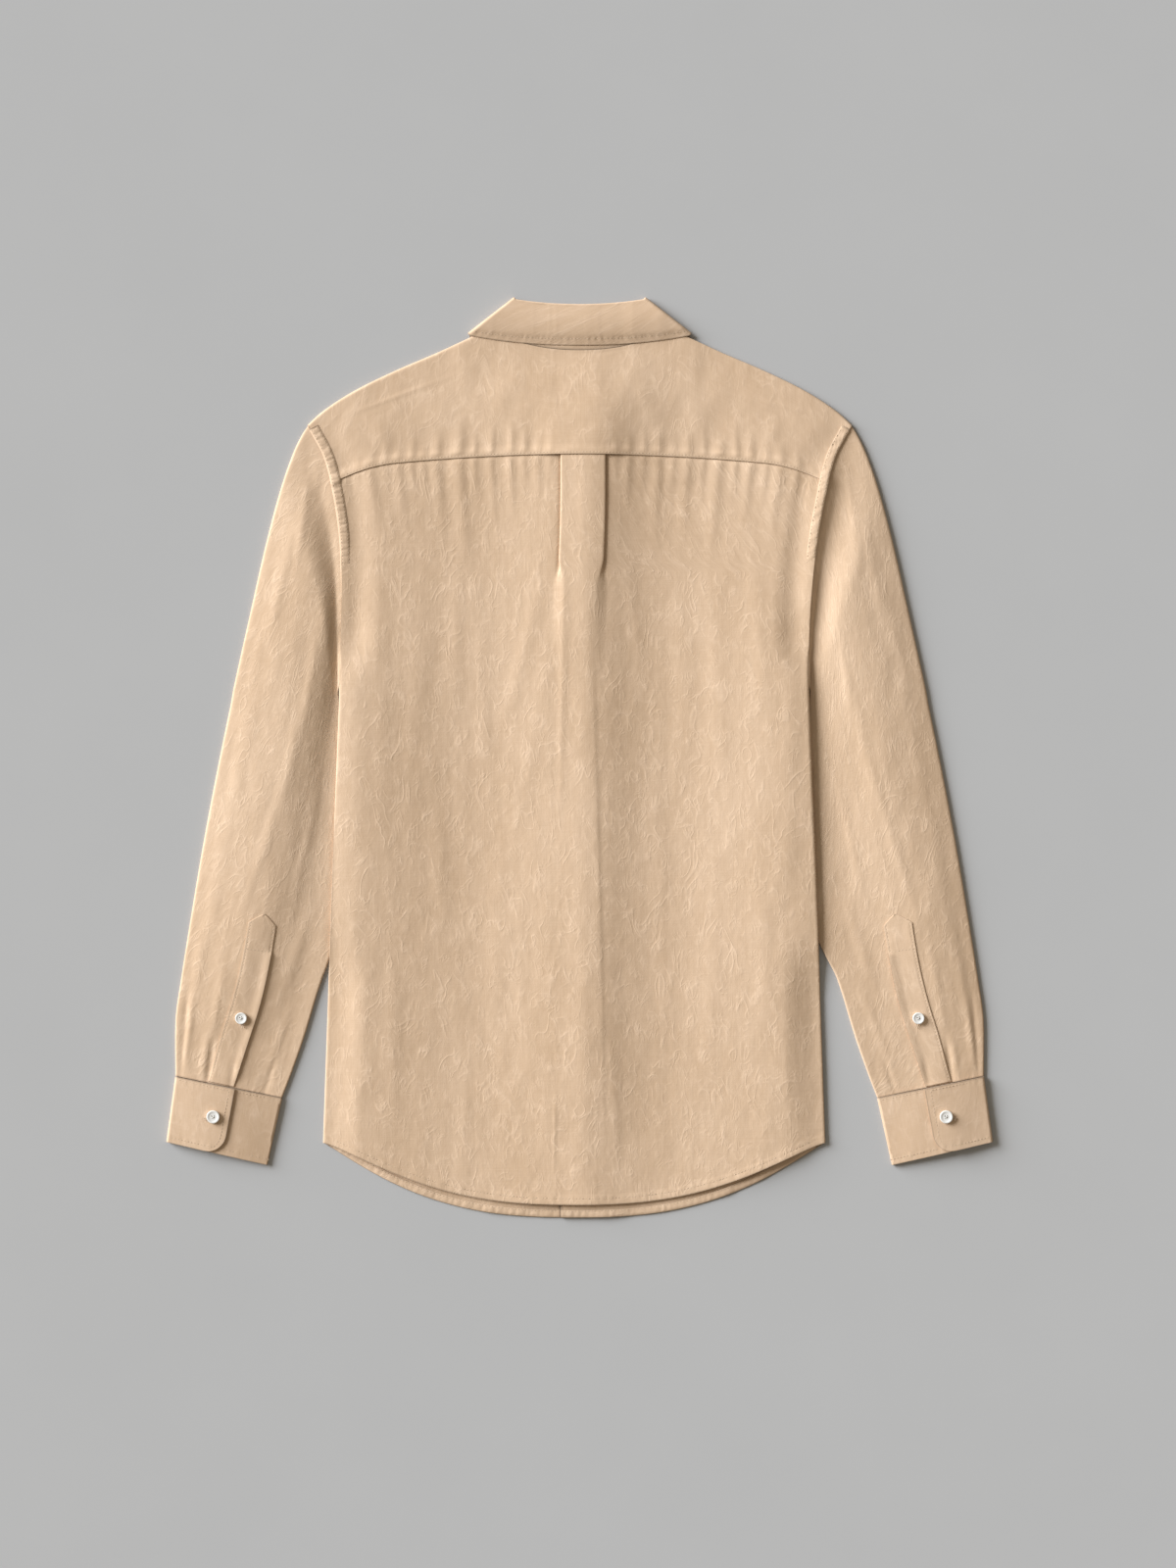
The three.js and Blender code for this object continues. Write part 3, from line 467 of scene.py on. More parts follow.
def new_mesh(name: str, points: Array, faces: Sequence[Array], uv: Array, corners: Sequence[Array]) -> Piece:
    """Makes an object from points and faces.

    Args:
        name: of the object.
        points: in millimetres.
        faces: arrays of point numbers, each with one count of corners.
        uv: places on the flat cloth, in metres.
        corners: for each array of faces, the numbers in uv of its corners.

    Returns:
        The object, at the origin.
    """
    mesh = bpy.data.meshes.new(name)
    mesh.vertices.add(len(points))
    mesh.vertices.foreach_set("co", (points * MM).astype(np.float32).ravel())
    order = np.concatenate([f.ravel() for f in faces]).astype(np.int32)
    counts = np.concatenate([np.full(len(f), f.shape[1]) for f in faces])
    mesh.loops.add(len(order))
    mesh.loops.foreach_set("vertex_index", order)
    mesh.polygons.add(len(counts))
    mesh.polygons.foreach_set("loop_start", (np.cumsum(counts) - counts).astype(np.int32))
    places = uv[np.concatenate([c.ravel() for c in corners])]
    mesh.uv_layers.new(name="cloth").data.foreach_set("uv", places.astype(np.float32).ravel())
    mesh.update(calc_edges=True)
    mesh.validate()
    mesh.shade_smooth()
    mesh.set_sharp_from_angle(angle=math.radians(50))
    return show(name, mesh)


def show(name: str, mesh: bpy.types.Mesh) -> Piece:
    """Returns a new object in the scene with a mesh."""
    piece = bpy.data.objects.new(name, mesh)
    bpy.context.scene.collection.objects.link(piece)
    return piece


def face_outward(piece: Piece) -> Piece:
    """Turns a closed piece's faces outward, by its volume, and returns it."""
    points = np.zeros(len(piece.data.vertices) * 3)
    piece.data.vertices.foreach_get("co", points)
    piece.data.calc_loop_triangles()
    corners = np.zeros(len(piece.data.loop_triangles) * 3, np.int32)
    piece.data.loop_triangles.foreach_get("vertices", corners)
    a, b, c = points.reshape(-1, 3)[corners.reshape(-1, 3)].transpose(1, 0, 2)
    if (a * np.cross(b, c)).sum() < 0:
        piece.data.flip_normals()
    return piece


def dress(piece: Piece, material: bpy.types.Material, slot: str, *nodes: str) -> Piece:
    """Gives a piece its finish and its place in the part.

    Args:
        piece: the finished mesh.
        material: its finish.
        slot: not used.
        nodes: the nodes that it stands for.

    Returns:
        The piece.
    """
    piece.data.materials.append(material)
    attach(piece, "root")
    if nodes:
        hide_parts(*nodes)
    LOG.info("%s: %d faces", piece.name, len(piece.data.polygons))
    return piece


@dataclass
class Shell:
    """A closed wall of cloth round a middle surface, given as rows of points.

    A ring's last column is its first one again. The hidden inner face has every other row. The
    attribute "rim" tells how far each point lies on an edge or a steep fold; the linen finish paints shade
    there.
    """

    name: str
    middle: Array
    uv: Array
    thickness: float = SHELL
    ring: bool = False

    def _normals(self) -> Array:
        """Returns the outward direction at each point of the middle surface."""
        down, across = (np.gradient(self.middle, axis=axis) for axis in (0, 1))
        if self.ring:
            across[:, [0, -1]] = (self.middle[:, 1] - self.middle[:, -2])[:, None]
        out = np.cross(down, across)
        return out / np.maximum(np.linalg.norm(out, axis=-1, keepdims=True), 1e-9)

    def build(self) -> Piece:
        """Builds the closed mesh, its faces outward."""
        rows, columns = self.middle.shape[:2]
        normals = self._normals()
        # the rim mask: edges and steep folds, where the linen finish paints shade into the colour
        rim = ramp(0.3, 0.8, 1 - np.abs(normals[..., 2:]))
        rim[[0, -1]] = 1
        if not self.ring:
            rim[:, [0, -1]] = 1
        kept = np.unique(np.append(np.arange(0, rows, 2), rows - 1))
        outer = np.arange(rows * columns).reshape(rows, columns)
        inner = rows * columns + outer[: len(kept)]
        number = np.arange(inner[-1, -1] + 1)
        if self.ring:
            for face in (outer, inner):
                number[face[:, -1]] = face[:, 0]
        used, compact = np.unique(number, return_inverse=True)
        offset = normals * self.thickness / 2
        layers = ((self.middle + offset, self.middle - offset), (self.uv, self.uv), (rim, rim))
        points, uv, rim = (
            np.concatenate([a.reshape(-1, a.shape[-1]), b[kept].reshape(-1, a.shape[-1])]) for a, b in layers
        )
        corners = self._faces(outer, inner, kept)
        piece = new_mesh(self.name, points[used], [compact[c] for c in corners], uv, corners)
        marks = piece.data.attributes.new("rim", "FLOAT", "POINT")
        marks.data.foreach_set("value", rim[used].ravel().astype(np.float32))
        return face_outward(piece)

    def _faces(self, outer: Array, inner: Array, kept: Array) -> list[Array]:
        """Returns the faces' corners, as numbers of points.

        Args:
            outer: numbers of the outer face's points, by row and column.
            inner: numbers of the inner face's points.
            kept: the rows of the outer face that the inner face has.
        """
        outside, inside = (
            np.stack([face[:-1, :-1], face[1:, :-1], face[1:, 1:], face[:-1, 1:]], -1).reshape(-1, 4)
            for face in (outer, inner)
        )
        first = [outer[0, :-1], outer[0, 1:], inner[0, 1:], inner[0, :-1]]
        last = [outer[-1, 1:], outer[-1, :-1], inner[-1, :-1], inner[-1, 1:]]
        faces = [outside, inside[:, ::-1], np.stack(first, -1), np.stack(last, -1)]
        if self.ring:
            return faces
        for r, (low, high) in enumerate(zip(kept[:-1], kept[1:])):
            rising, falling = outer[low : high + 1, -1], outer[low : high + 1, 0][::-1]
            faces.append(np.array([[*rising, inner[r + 1, -1], inner[r, -1]]]))
            faces.append(np.array([[*falling, inner[r, 0], inner[r + 1, 0]]]))
        return faces


@dataclass
class Sheet(Shell):
    """A shell that is one cut sheet of cloth and stands for a node."""

    node: str = ""
    flat: tuple[float, float] = (0.0, 0.0)
    held: Hold = Hold.LAID

    def lay(self, material: bpy.types.Material, **cut: object) -> Piece:
        """Builds the sheet and dresses it.

        Args:
            material: its finish.
            cut: area, rests_on and with_pieces; not used.

        Returns:
            The piece.
        """
        piece = dress(self.build(), material, "cloth", self.node)
        return piece


@dataclass
class Strip:
    """A folded strip of cloth sewn down flat along an edge, with the small dips that its stitches pull.

    ground holds points on the face of the cloth that it lies on: rows along the edge, and a column for
    each distance from the edge in away. over is 1 on top of a panel and -1 underneath it.
    """

    name: str
    ground: Array
    away: Array
    dips: Puckers
    depth: float = 0.3
    over: int = 1
    thickness: float = 0.45
    slant: float = 0.0  # of the dips
    raised: float = 1.0  # height between the dips, as a share of their depth

    def middle(self) -> Array:
        """Returns the points of the strip's middle."""
        run = travelled(self.ground[:, 4])[:, None]
        width = self.away.max()
        away = self.away[None] + 0 * run
        inside = ramp(0.2, 2.2, away) * ramp(0.2, 2.2, width - away)
        edges = 0.22 * bell(away - self.away.min(), 0.7) + 0.16 * bell(width - away, 0.7)
        dips = np.minimum(self.dips(run + self.slant * away, away), 1)
        middle = self.ground.copy()
        lift = self.thickness / 2 + 0.06 + self.depth * inside * (self.raised - dips) - edges
        middle[..., 2] += self.over * lift
        return middle

    def line(self, away: float) -> Array:
        """Returns a line on the strip's face at a distance from the edge."""
        k = int(np.searchsorted(self.away, away))
        share = (away - self.away[k - 1]) / (self.away[k] - self.away[k - 1])
        middle = self.middle()
        line = mix(middle[:, k - 1], middle[:, k], share)
        line[:, 2] += self.over * self.thickness / 2
        return line

    def build(self, material: bpy.types.Material) -> Piece:
        """Builds the strip and dresses it."""
        uv = on_cloth(self.away[None], travelled(self.ground[:, 4])[:, None], (0.3, 0.1))
        return dress(Shell(self.name, self.middle(), uv, self.thickness).build(), material, "cloth")


# ---- Sewing -------------------------------------------------------------------------------------


@dataclass
class Sewing:
    """Stitches of thread, gathered into one mesh: each a rounded six-sided bar with two tips."""

    name: str
    gauge: float = 0.5  # the thread's thickness
    pitch: float = 2.9  # from one stitch of a row to the next
    shown: float = 0.7  # how much of the pitch a stitch covers
    flatness: float = 0.62  # height of a stitch over its width
    shoulders: tuple[float, float] = (-0.28, 0.28)  # where a stitch is full, as shares of its length
    points: list[Array] = field(default_factory=list)
    faces: list[Array] = field(default_factory=list)
    tips: list[Array] = field(default_factory=list)
    count: int = 0

    SIDES = np.array([[k, (k + 1) % 6, 6 + (k + 1) % 6, 6 + k] for k in range(6)])
    ENDS = np.array([[(k, 12, (k + 1) % 6), (6 + (k + 1) % 6, 13, 6 + k)] for k in range(6)])

    def stitch(self, middles: Array, ahead: Array, out: Array, length: float) -> None:
        """Adds stitches.

        Args:
            middles: their middles, on the cloth.
            ahead: unit directions along them.
            out: unit directions out of the cloth.
            length: of one stitch.
        """
        aside, r = np.cross(out, ahead), self.gauge / 2
        rings = [
            middles + ahead * length * place
            + aside * (r * math.sin(a)) + out * (r * math.cos(a) * self.flatness)
            for place in self.shoulders
            for a in np.radians([-90, -30, 30, 90, 150, 210])
        ]
        ends = [middles + ahead * length * place - out * (0.3 * r) for place in (-0.5, 0.5)]
        first = self.count + 14 * np.arange(len(middles))[:, None]
        self.faces.append((first + self.SIDES[:, None]).reshape(-1, 4))
        self.tips.append((first + self.ENDS.reshape(12, 1, 3)).reshape(-1, 3))
        self.points.append(np.stack([*rings, *ends], 1).reshape(-1, 3))
        self.count += 14 * len(middles)

    def run(self, line: Array, up: float = 1.0) -> None:
        """Sews a row along points on the cloth's face; up is -1 on a face that looks down."""
        lengths = travelled(line)
        count = max(2, int(lengths[-1] / self.pitch))
        at = (np.arange(count) + 0.5) * lengths[-1] / count
        before, middles, after = (
            np.stack([np.interp(at + shift, lengths, axis) for axis in line.T], -1)
            for shift in (-0.4, 0, 0.4)
        )
        ahead = after - before
        ahead /= np.maximum(np.linalg.norm(ahead, axis=1, keepdims=True), 1e-9)
        self.stitch(middles, ahead, np.array([0, 0, up]), lengths[-1] / count * self.shown)

    def buttonhole(self, start: Array, ahead: Array, length: float) -> None:
        """Sews the two close rows of a buttonhole, from its start on the cloth's face."""
        aside = np.array([-ahead[1], ahead[0], 0])
        at = np.arange(0, length, 0.55)[:, None]
        for edge in (-1, 1):
            middles = start + at * ahead + aside * edge * 0.75
            self.stitch(middles, aside + 0 * middles, np.array([0, 0, 1.0]), 1.3)

    def tie(self, face: Array, facing: int, turn: float, spread: float) -> None:
        """Sews a button through its four holes with two short bars of thread.

        Args:
            face: the middle of the button's dish.
            facing: 1 for up, -1 for down.
            turn: of the button about its axis, in radians.
            spread: from its middle to a hole.
        """
        across = np.array([math.cos(turn + math.pi / 4), math.sin(turn + math.pi / 4), 0])
        along = np.array([-across[1], across[0], 0])
        apart = spread / math.sqrt(2)
        out = np.array([0, 0, float(facing)])
        for bar in (-apart, apart):
            for strand in (-0.22, 0.22):
                middle = (face + 0.12 * out + across * (bar + strand))[None]
                self.stitch(middle, along[None], out, 2 * apart + 0.9)

    def build(self, material: bpy.types.Material) -> Piece:
        """Builds the joined mesh and returns it."""
        points = np.concatenate(self.points)
        faces = [np.concatenate(self.faces), np.concatenate(self.tips)]
        piece = new_mesh(self.name, points, faces, points[:, :2] * MM, faces)
        return dress(face_outward(piece), material, "cloth")


# ---- Heights of the dressed body ----------------------------------------------------------------


@dataclass
class Body:
    """The surfaces of back, yoke and fronts as they lie, with their folds and creases.

    Over its flat valleys the back rises to a ridge along each side, where the sleeves lie under it, and to
    one along the middle, where the plackets do.
    """

    back_relief: Relief
    yoke_relief: Relief
    under: Relief
    rest_gap: float = 0.25
    valley: float = 2.6
    middle: Curve = Curve(
        (-108, 0), (-70, 0.6), (-45, 2.0), (-25, 3.2), (-8, 4.1), (4, 4.9), (12, 5.0), (28, 3.9), (46, 1.9),
        (64, 0.5), (82, 0),
    )
    sides: Curve = Curve(
        (-212, 3.0), (-203, 4.2), (-192, 5.0), (-178, 4.7), (-150, 3.1), (-118, 1.2), (-90, 0.1), (-80, 0),
        (80, 0), (104, 0.6), (138, 2.7), (165, 4.6), (180, 5.3), (192, 5.3), (203, 5.0), (212, 4.6),
    )
    side_share: Curve = Curve(
        (-395, 0.4), (-330, 0.5), (-230, 0.75), (-100, 0.95), (60, 1.0), (150, 0.66), (230, 0.45),
        (268, 0.32), (320, 0.18), (390, 0),
    )

    def _lying(self, x: Array, y: Array, distance: Array) -> Array:
        """Returns the height at which the back lies, away from its edges."""
        fades = 1 - ramp(300, 385, y)
        across = x - CUT.lean(y)
        over = CUT.placket_lift(x, CUT.placket_bottom * CUT.held_up(y) + CUT.pitch) * (1 - ramp(290, 330, y))
        least = CUT.half + SHELL + self.rest_gap + np.maximum(CUT.front_lift(x, y), over)
        stretch = 1 + 0.5 * ramp(220, 320, y)
        window = mix(ramp(0, 34, distance), 1.0, CUT.over_sleeve(y))
        wide = self.valley + self.middle(across / stretch) * fades * (0.6 + 0.4 * CUT.held_up(y))
        wide = wide + self.sides(across) * self.side_share(y) * window
        gap = wide - least
        return least + (gap + np.sqrt(gap**2 + 0.09)) / 2

    def creases(self, x: Array, y: Array) -> Array:
        """Returns the height of the creases in back and yoke; at the seam between them there are none."""
        above = y - CUT.yoke_seam(x)
        both = np.where(above > 0, self.yoke_relief(x, y), self.back_relief(x, y))
        return np.maximum(both, -0.6) * ramp(-0.5, 4.5, np.abs(above))

    def back(self, x: Array, y: Array) -> Array:
        """Returns the middle of the back and the yoke where the cloth lies open."""
        distance = CUT.from_rim(x, y)
        lift = CUT.front_lift(x, y)
        lying = self._lying(x, y, distance)
        by_armhole = mix(CUT.armhole_height(x, y) + lift, lying, ramp(0, 24, distance))
        by_side = mix(CUT.side_fold + SHELL_HALF * 0.98 + lift, lying, self._turn(distance))
        return mix(by_armhole, by_side, CUT.side_seam(y)) + self.creases(x, y) * ramp(0, 7, distance)

    def _turn(self, distance: Array) -> Array:
        """Returns the round of a side fold, 0 at its rim and 1 past it."""
        return np.sqrt(1 - (1 - np.clip(distance / CUT.side_round, 0, 1)) ** 2)

    def front(self, x: Array, y: Array, side: int) -> Array:
        """Returns the middle of a front."""
        turn_up = (CUT.side_fold - SHELL_HALF * 0.98 - CUT.half) * CUT.side_seam(y)
        distance = CUT.from_rim(x, y)
        creased = np.clip(self.under(x, y), -0.15, 0.5) * ramp(0, 7, distance)
        return CUT.half + CUT.front_side_lift(x, y, side) + turn_up * (1 - self._turn(distance)) + creased


# ---- Back ---------------------------------------------------------------------------------------


@dataclass
class Back:
    """The back panel with its box pleat."""

    body: Body
    material: bpy.types.Material
    tuck_in: float = 3.0  # its upper edge lies this far under the yoke
    fold_pitch: float = 0.86  # between the layers of the pleat
    pressed: float = 0.9  # how far the cloth under the pleat's folds is pressed down
    reach: float = 6.0  # of the pleat's columns to each side of a fold
    in_band: float = 8.4  # from a fold to the plain part of the pleat's band
    stations: tuple[float, ...] = (0, 0.04, 0.25, 0.8, 2.4, 4.6, 7, 9.4, 11.8, 14.2, 16.6, 19, 21.4)

    def _tuck(self, depth: Array, folded: Array, height: Array) -> tuple[Array, Array]:
        """Returns one side of the pleat, from the cloth beside it up to the band.

        Args:
            depth: how much cloth is folded under, for each row.
            folded: 1 where it is folded, 0 where it has opened to a soft step.
            height: of the band over the cloth beside it.

        Returns:
            Distances towards the pleat's middle and heights, a row for each of the panel's.
        """
        d, p = depth[:, None], self.fold_pitch
        turn = np.radians([45, 90, 135])[None]
        arc = p / 2 * np.sin(turn)
        flat, low = 0 * d, 0 * d - self.pressed
        places = [flat - self.reach, flat - 4, flat - 2.5, flat - 1.2, flat]
        places += [d / 2, d, d + arc, d, d / 2, flat]
        places += [flat - arc, flat, flat + 1.5, flat + 3, flat + self.reach]
        heights = [flat, 0.06 * low, 0.24 * low, 0.66 * low, low, low, low]
        heights += [mix(low, p, (1 - np.cos(turn)) / 2)]
        heights += [flat + p] * 3 + [flat + p + p / 2 * (1 - np.cos(turn))] + [flat + 2 * p] * 4
        a, h = np.concatenate(places, 1), np.concatenate(heights, 1)
        opened = np.linspace(-self.reach, self.reach, a.shape[1])[None] + flat
        step = height[:, None] * ramp(-self.reach, self.reach, opened)
        return mix(opened, a, folded[:, None]), mix(step, h, folded[:, None])

    def _columns(self, row: Curved) -> tuple[Array, Array, Array]:
        """Returns x of the panel's points, how high the pleat raises them, and x of the left edge."""
        ends = [CUT.meet_edge(row, side) for side in (-1, 1)]
        left, right = (x + way * CUT.fold_inset(y) for way, (x, y) in zip((1, -1), ends))
        middle = CUT.pleat_middle + CUT.lean(row(np.array(0.0)))
        y = row(middle)[:, 0]
        opening = (y - CUT.pleat_end) / (CUT.yoke_seam_y - CUT.pleat_end)
        height = 2 * self.fold_pitch * ramp(60, CUT.pleat_end + 20, y)
        a, h = self._tuck(CUT.pleat_tuck * np.clip(opening, 0, 1), ramp(0.02, 0.22, opening), height)
        first, last = middle - CUT.pleat_half, middle + CUT.pleat_half
        half_band = CUT.pleat_half - self.in_band
        stations = np.array(self.stations)[None]
        fill = np.linspace(0, 1, 90)[None, 1:-1]
        runs = [
            left + stations,
            mix(left + stations.max(), first - self.reach, fill),
            first + a,
            np.linspace(-half_band, half_band, 9)[None] + middle,
            last - a[:, ::-1],
            mix(last + self.reach, right - stations.max(), fill),
            right - stations[:, ::-1],
        ]
        raised = [0 * run for run in runs]
        raised[2], raised[3], raised[4] = h, raised[3] + height[:, None], h[:, ::-1]
        return np.concatenate(runs, 1), np.concatenate(raised, 1), left

    def build(self, strips: Sequence[Piece]) -> Piece:
        """Builds the panel; strips are the folds of cloth sewn on it."""
        upper = joined(np.linspace(0, 0.03, 13), np.linspace(0.03, 0.15, 42))
        share = joined(upper, np.linspace(0.15, 0.985, 160), np.linspace(0.985, 1, 8))[:, None]

        def row(x: Array) -> Array:
            """Returns y of every row at x."""
            return mix(CUT.yoke_seam(x) + self.tuck_in, CUT.back_hem(x), share)

        x, raised, left = self._columns(row)
        y = row(x)
        under_yoke = 0.4 * (1 - ramp(-1, 5, CUT.yoke_seam(x) - y))
        above_hem = y - CUT.back_hem(x)
        dimples = Puckers(460, 6.2, 61)(x + 225, above_hem)
        hem = 0.26 * (1 - ramp(6.4, 8.6, above_hem)) - 0.42 * bell(above_hem - 5.4, 1.5) * dimples
        z = self.body.back(x, y) + raised - under_yoke + hem
        across = np.cumsum(np.abs(np.diff(x, axis=1, prepend=x[:, :1])), 1) + left
        sheet = Sheet("back_panel", points_of(x, y, z), on_cloth(across, y), node="back", flat=(0.50, 0.66))
        return sheet.lay(self.material, rests_on=FRONTS, area=0.30, with_pieces=strips)


# ---- Yoke ---------------------------------------------------------------------------------------


@dataclass
class Yoke:
    """The yoke, turned under at the shoulders."""

    body: Body
    material: bpy.types.Material
    pleat_height: float = 1.75  # of the pleat's folds under its lower edge
    lap: float = 1.2  # its lower edge lies this far over the back
    lap_rise: float = 0.62
    shoulder_round: float = 2.4
    neck_step: float = 0.5
    wrap_rows: int = 4
    turn_rows: int = 11
    edge_run: tuple[float, ...] = (0, 1.2, 2.6, 4.2, 6, 8, 10, 12, 15, 18, 21, 24)

    @property
    def upper_rows(self) -> int:
        """The number of rows under and round the shoulder."""
        return self.wrap_rows + self.turn_rows

    def _columns(self, half: float) -> Array:
        """Returns x of the columns of a row that reaches half each way."""
        neck = steps(0, CUT.neck_half, 1.9)
        open_run = np.linspace(CUT.neck_half + 4, half - self.edge_run[-1], 56)[:-1]
        right = np.concatenate([neck, open_run, half - np.array(self.edge_run[::-1])])
        return np.concatenate([-right[:0:-1], right])

    def _last_flat(self, x: Array) -> Array:
        """Returns y where the yoke starts to turn under at the shoulder."""
        return CUT.yoke_top(x) - CUT.half - self.shoulder_round

    def _turned(self, i: int) -> float:
        """Returns the angle of a row round the shoulder, in radians."""
        return math.radians(-90 + 180 * (i - self.wrap_rows) / (self.turn_rows - 1))

    def _shoulder_y(self, x: Array, i: int) -> Array:
        """Returns y of one row's start beside the neck: under the shoulder, round it or past it."""
        if i < self.wrap_rows:
            return mix(CUT.shoulder_fold(x) - CUT.yoke_wrap, self._last_flat(x), i / self.wrap_rows)
        if i < self.upper_rows:
            return CUT.yoke_top(x) - CUT.half - self.shoulder_round * (1 - math.cos(self._turned(i)))
        return self._last_flat(x)

    def _row(self, i: int, share: float) -> Array:
        """Returns the points of one row.

        Args:
            i: the row's number.
            share: 0 at the shoulder or the neck, 1 at the seam with the back.

        Returns:
            Its points from left to right.
        """

        def curve(x: Array) -> Array:
            """Returns y of the row at x."""
            neck_y = CUT.yoke_top(x) - self.neck_step * min(i, self.upper_rows - 1)
            top = np.where(np.abs(x) <= CUT.neck_half, neck_y, self._shoulder_y(x, i))
            return mix(top, CUT.yoke_seam(x) - self.lap, share)

        x = self._columns(float(CUT.meet_edge(curve, 1)[0]))
        y = curve(x)
        high = self.body.back(x, np.minimum(y, self._last_flat(x)))
        if i >= self.upper_rows:
            return points_of(x, y, high + self.rise(x, y))
        lower = CUT.half + CUT.front_lift(x, CUT.shoulder_fold(x) - CUT.yoke_wrap)
        up = 0.0 if i < self.wrap_rows else (1 + math.sin(self._turned(i))) / 2
        turned = mix(lower, self.body.back(x, self._last_flat(x)), up)
        return points_of(x, y, np.where(np.abs(x) <= CUT.neck_half, high, turned))

    def rise(self, x: Array, y: Array) -> Array:
        """Returns how high the yoke rides over the back's upper edge and its pleat."""
        above = y - CUT.yoke_seam(x) + self.lap
        over_pleat = 1 - ramp(CUT.pleat_half - 1, CUT.pleat_half + 26, np.abs(x - CUT.pleat_middle))
        lap = self.lap_rise * (1 - ramp(1.0, 10, above))
        return lap + self.pleat_height * over_pleat * (1 - ramp(3, 60, above))

    def edge_line(self, inside: float) -> Array:
        """Returns a line on the yoke's face, a distance inside its lower edge."""
        x = steps(-205, 205, 2.0)
        y = CUT.yoke_seam(x) - self.lap + inside
        return points_of(x, y, self.body.back(x, y) + self.rise(x, y) + SHELL_HALF)

    def build(self) -> Piece:
        """Builds the panel from its lower end at the front, over the shoulders, down to its seam."""
        upper = joined(np.linspace(0, 0.88, 44), np.linspace(0.88, 1, 13))[1:]
        grid = np.array([self._row(i, s) for i, s in enumerate([0.0] * self.upper_rows + list(upper))])
        uv = on_cloth(grid[..., 0], 400 - travelled(grid), (0.0, 0.6))
        sheet = Sheet("yoke_panel", grid, uv, node="yoke", flat=(0.48, 0.14), held=Hold.FOLDED)
        return sheet.lay(self.material, rests_on=FRONTS, area=0.052)


# ---- Fronts and placket -------------------------------------------------------------------------


@dataclass
class Front:
    """One of the fronts, which lie under the back."""

    body: Body
    side: Side
    material: bpy.types.Material
    stations: tuple[float, ...] = (0, 0.04, 0.25, 0.8, 3, 6, 9, 13)

    def build(self, strips: Sequence[Piece]) -> Piece:
        """Builds the panel; strips are the folds of cloth sewn on it."""
        sign, word = self.side.value, self.side.word
        share = joined(np.linspace(0, 0.955, 126), np.linspace(0.955, 1, 13))[:, None]

        def row(x: Array) -> Array:
            """Returns y of every row at x."""
            return mix(CUT.front_top(x), CUT.front_hem(x), share)

        edge, y = CUT.meet_edge(row, sign)
        outer = edge - sign * CUT.fold_inset(y)
        inner = -CUT.placket_half - (CUT.seam if sign < 0 else 0)
        end = sign * 80.0
        first = outer - sign * np.array(self.stations)[None]
        middle = mix(first[:, -1:], end, np.linspace(0, 1, 30)[None, 1:])
        last = mix(end, float(inner), np.linspace(0, 1, 22 if sign < 0 else 32)[None, 1:]) + 0 * outer
        x = np.concatenate([first, middle, last], 1)[:, ::-sign]
        y = row(x)
        grid = points_of(x, y, self.body.front(x, y, sign))
        uv = on_cloth(x, y, (sign * 1.0, 1.5))
        sheet = Sheet(f"front_{word}_panel", grid, uv, node=f"front_{word}", flat=(0.26, 0.76))
        return sheet.lay(self.material, area=0.14, with_pieces=strips)


@dataclass
class FrontPlacket:
    """The band under the shirt's middle that the buttons are sewn on."""

    material: bpy.types.Material

    def build(self, sewing: Sewing) -> Piece:
        """Builds the band, lying on its buttons."""
        share = np.linspace(0, 1, 240)[:, None]
        x = np.linspace(-CUT.placket_half, CUT.placket_half, 21)[None] + 0 * share
        y = mix(CUT.front_top(x), CUT.front_hem(x), share)
        near = bell(CUT.placket_half - 5 - np.abs(x), 2.2)
        ripple = Puckers(700, 6.5, 41)(-y + 300, x)
        grid = points_of(x, y, CUT.placket_bottom * CUT.held_up(y) + CUT.half - 0.22 * near * ripple)
        for column in (4, 16):
            sewing.run(grid[3:-3, column] - np.array([0, 0, SHELL_HALF]), up=-1.0)
        uv = on_cloth(x, y, (3.0, 1.5))
        sheet = Sheet("front_placket_band", grid, uv, node="front_placket", flat=(0.034, 0.69))
        return sheet.lay(self.material, rests_on=["front_button_1"])


# ---- Felled armholes and hems -------------------------------------------------------------------


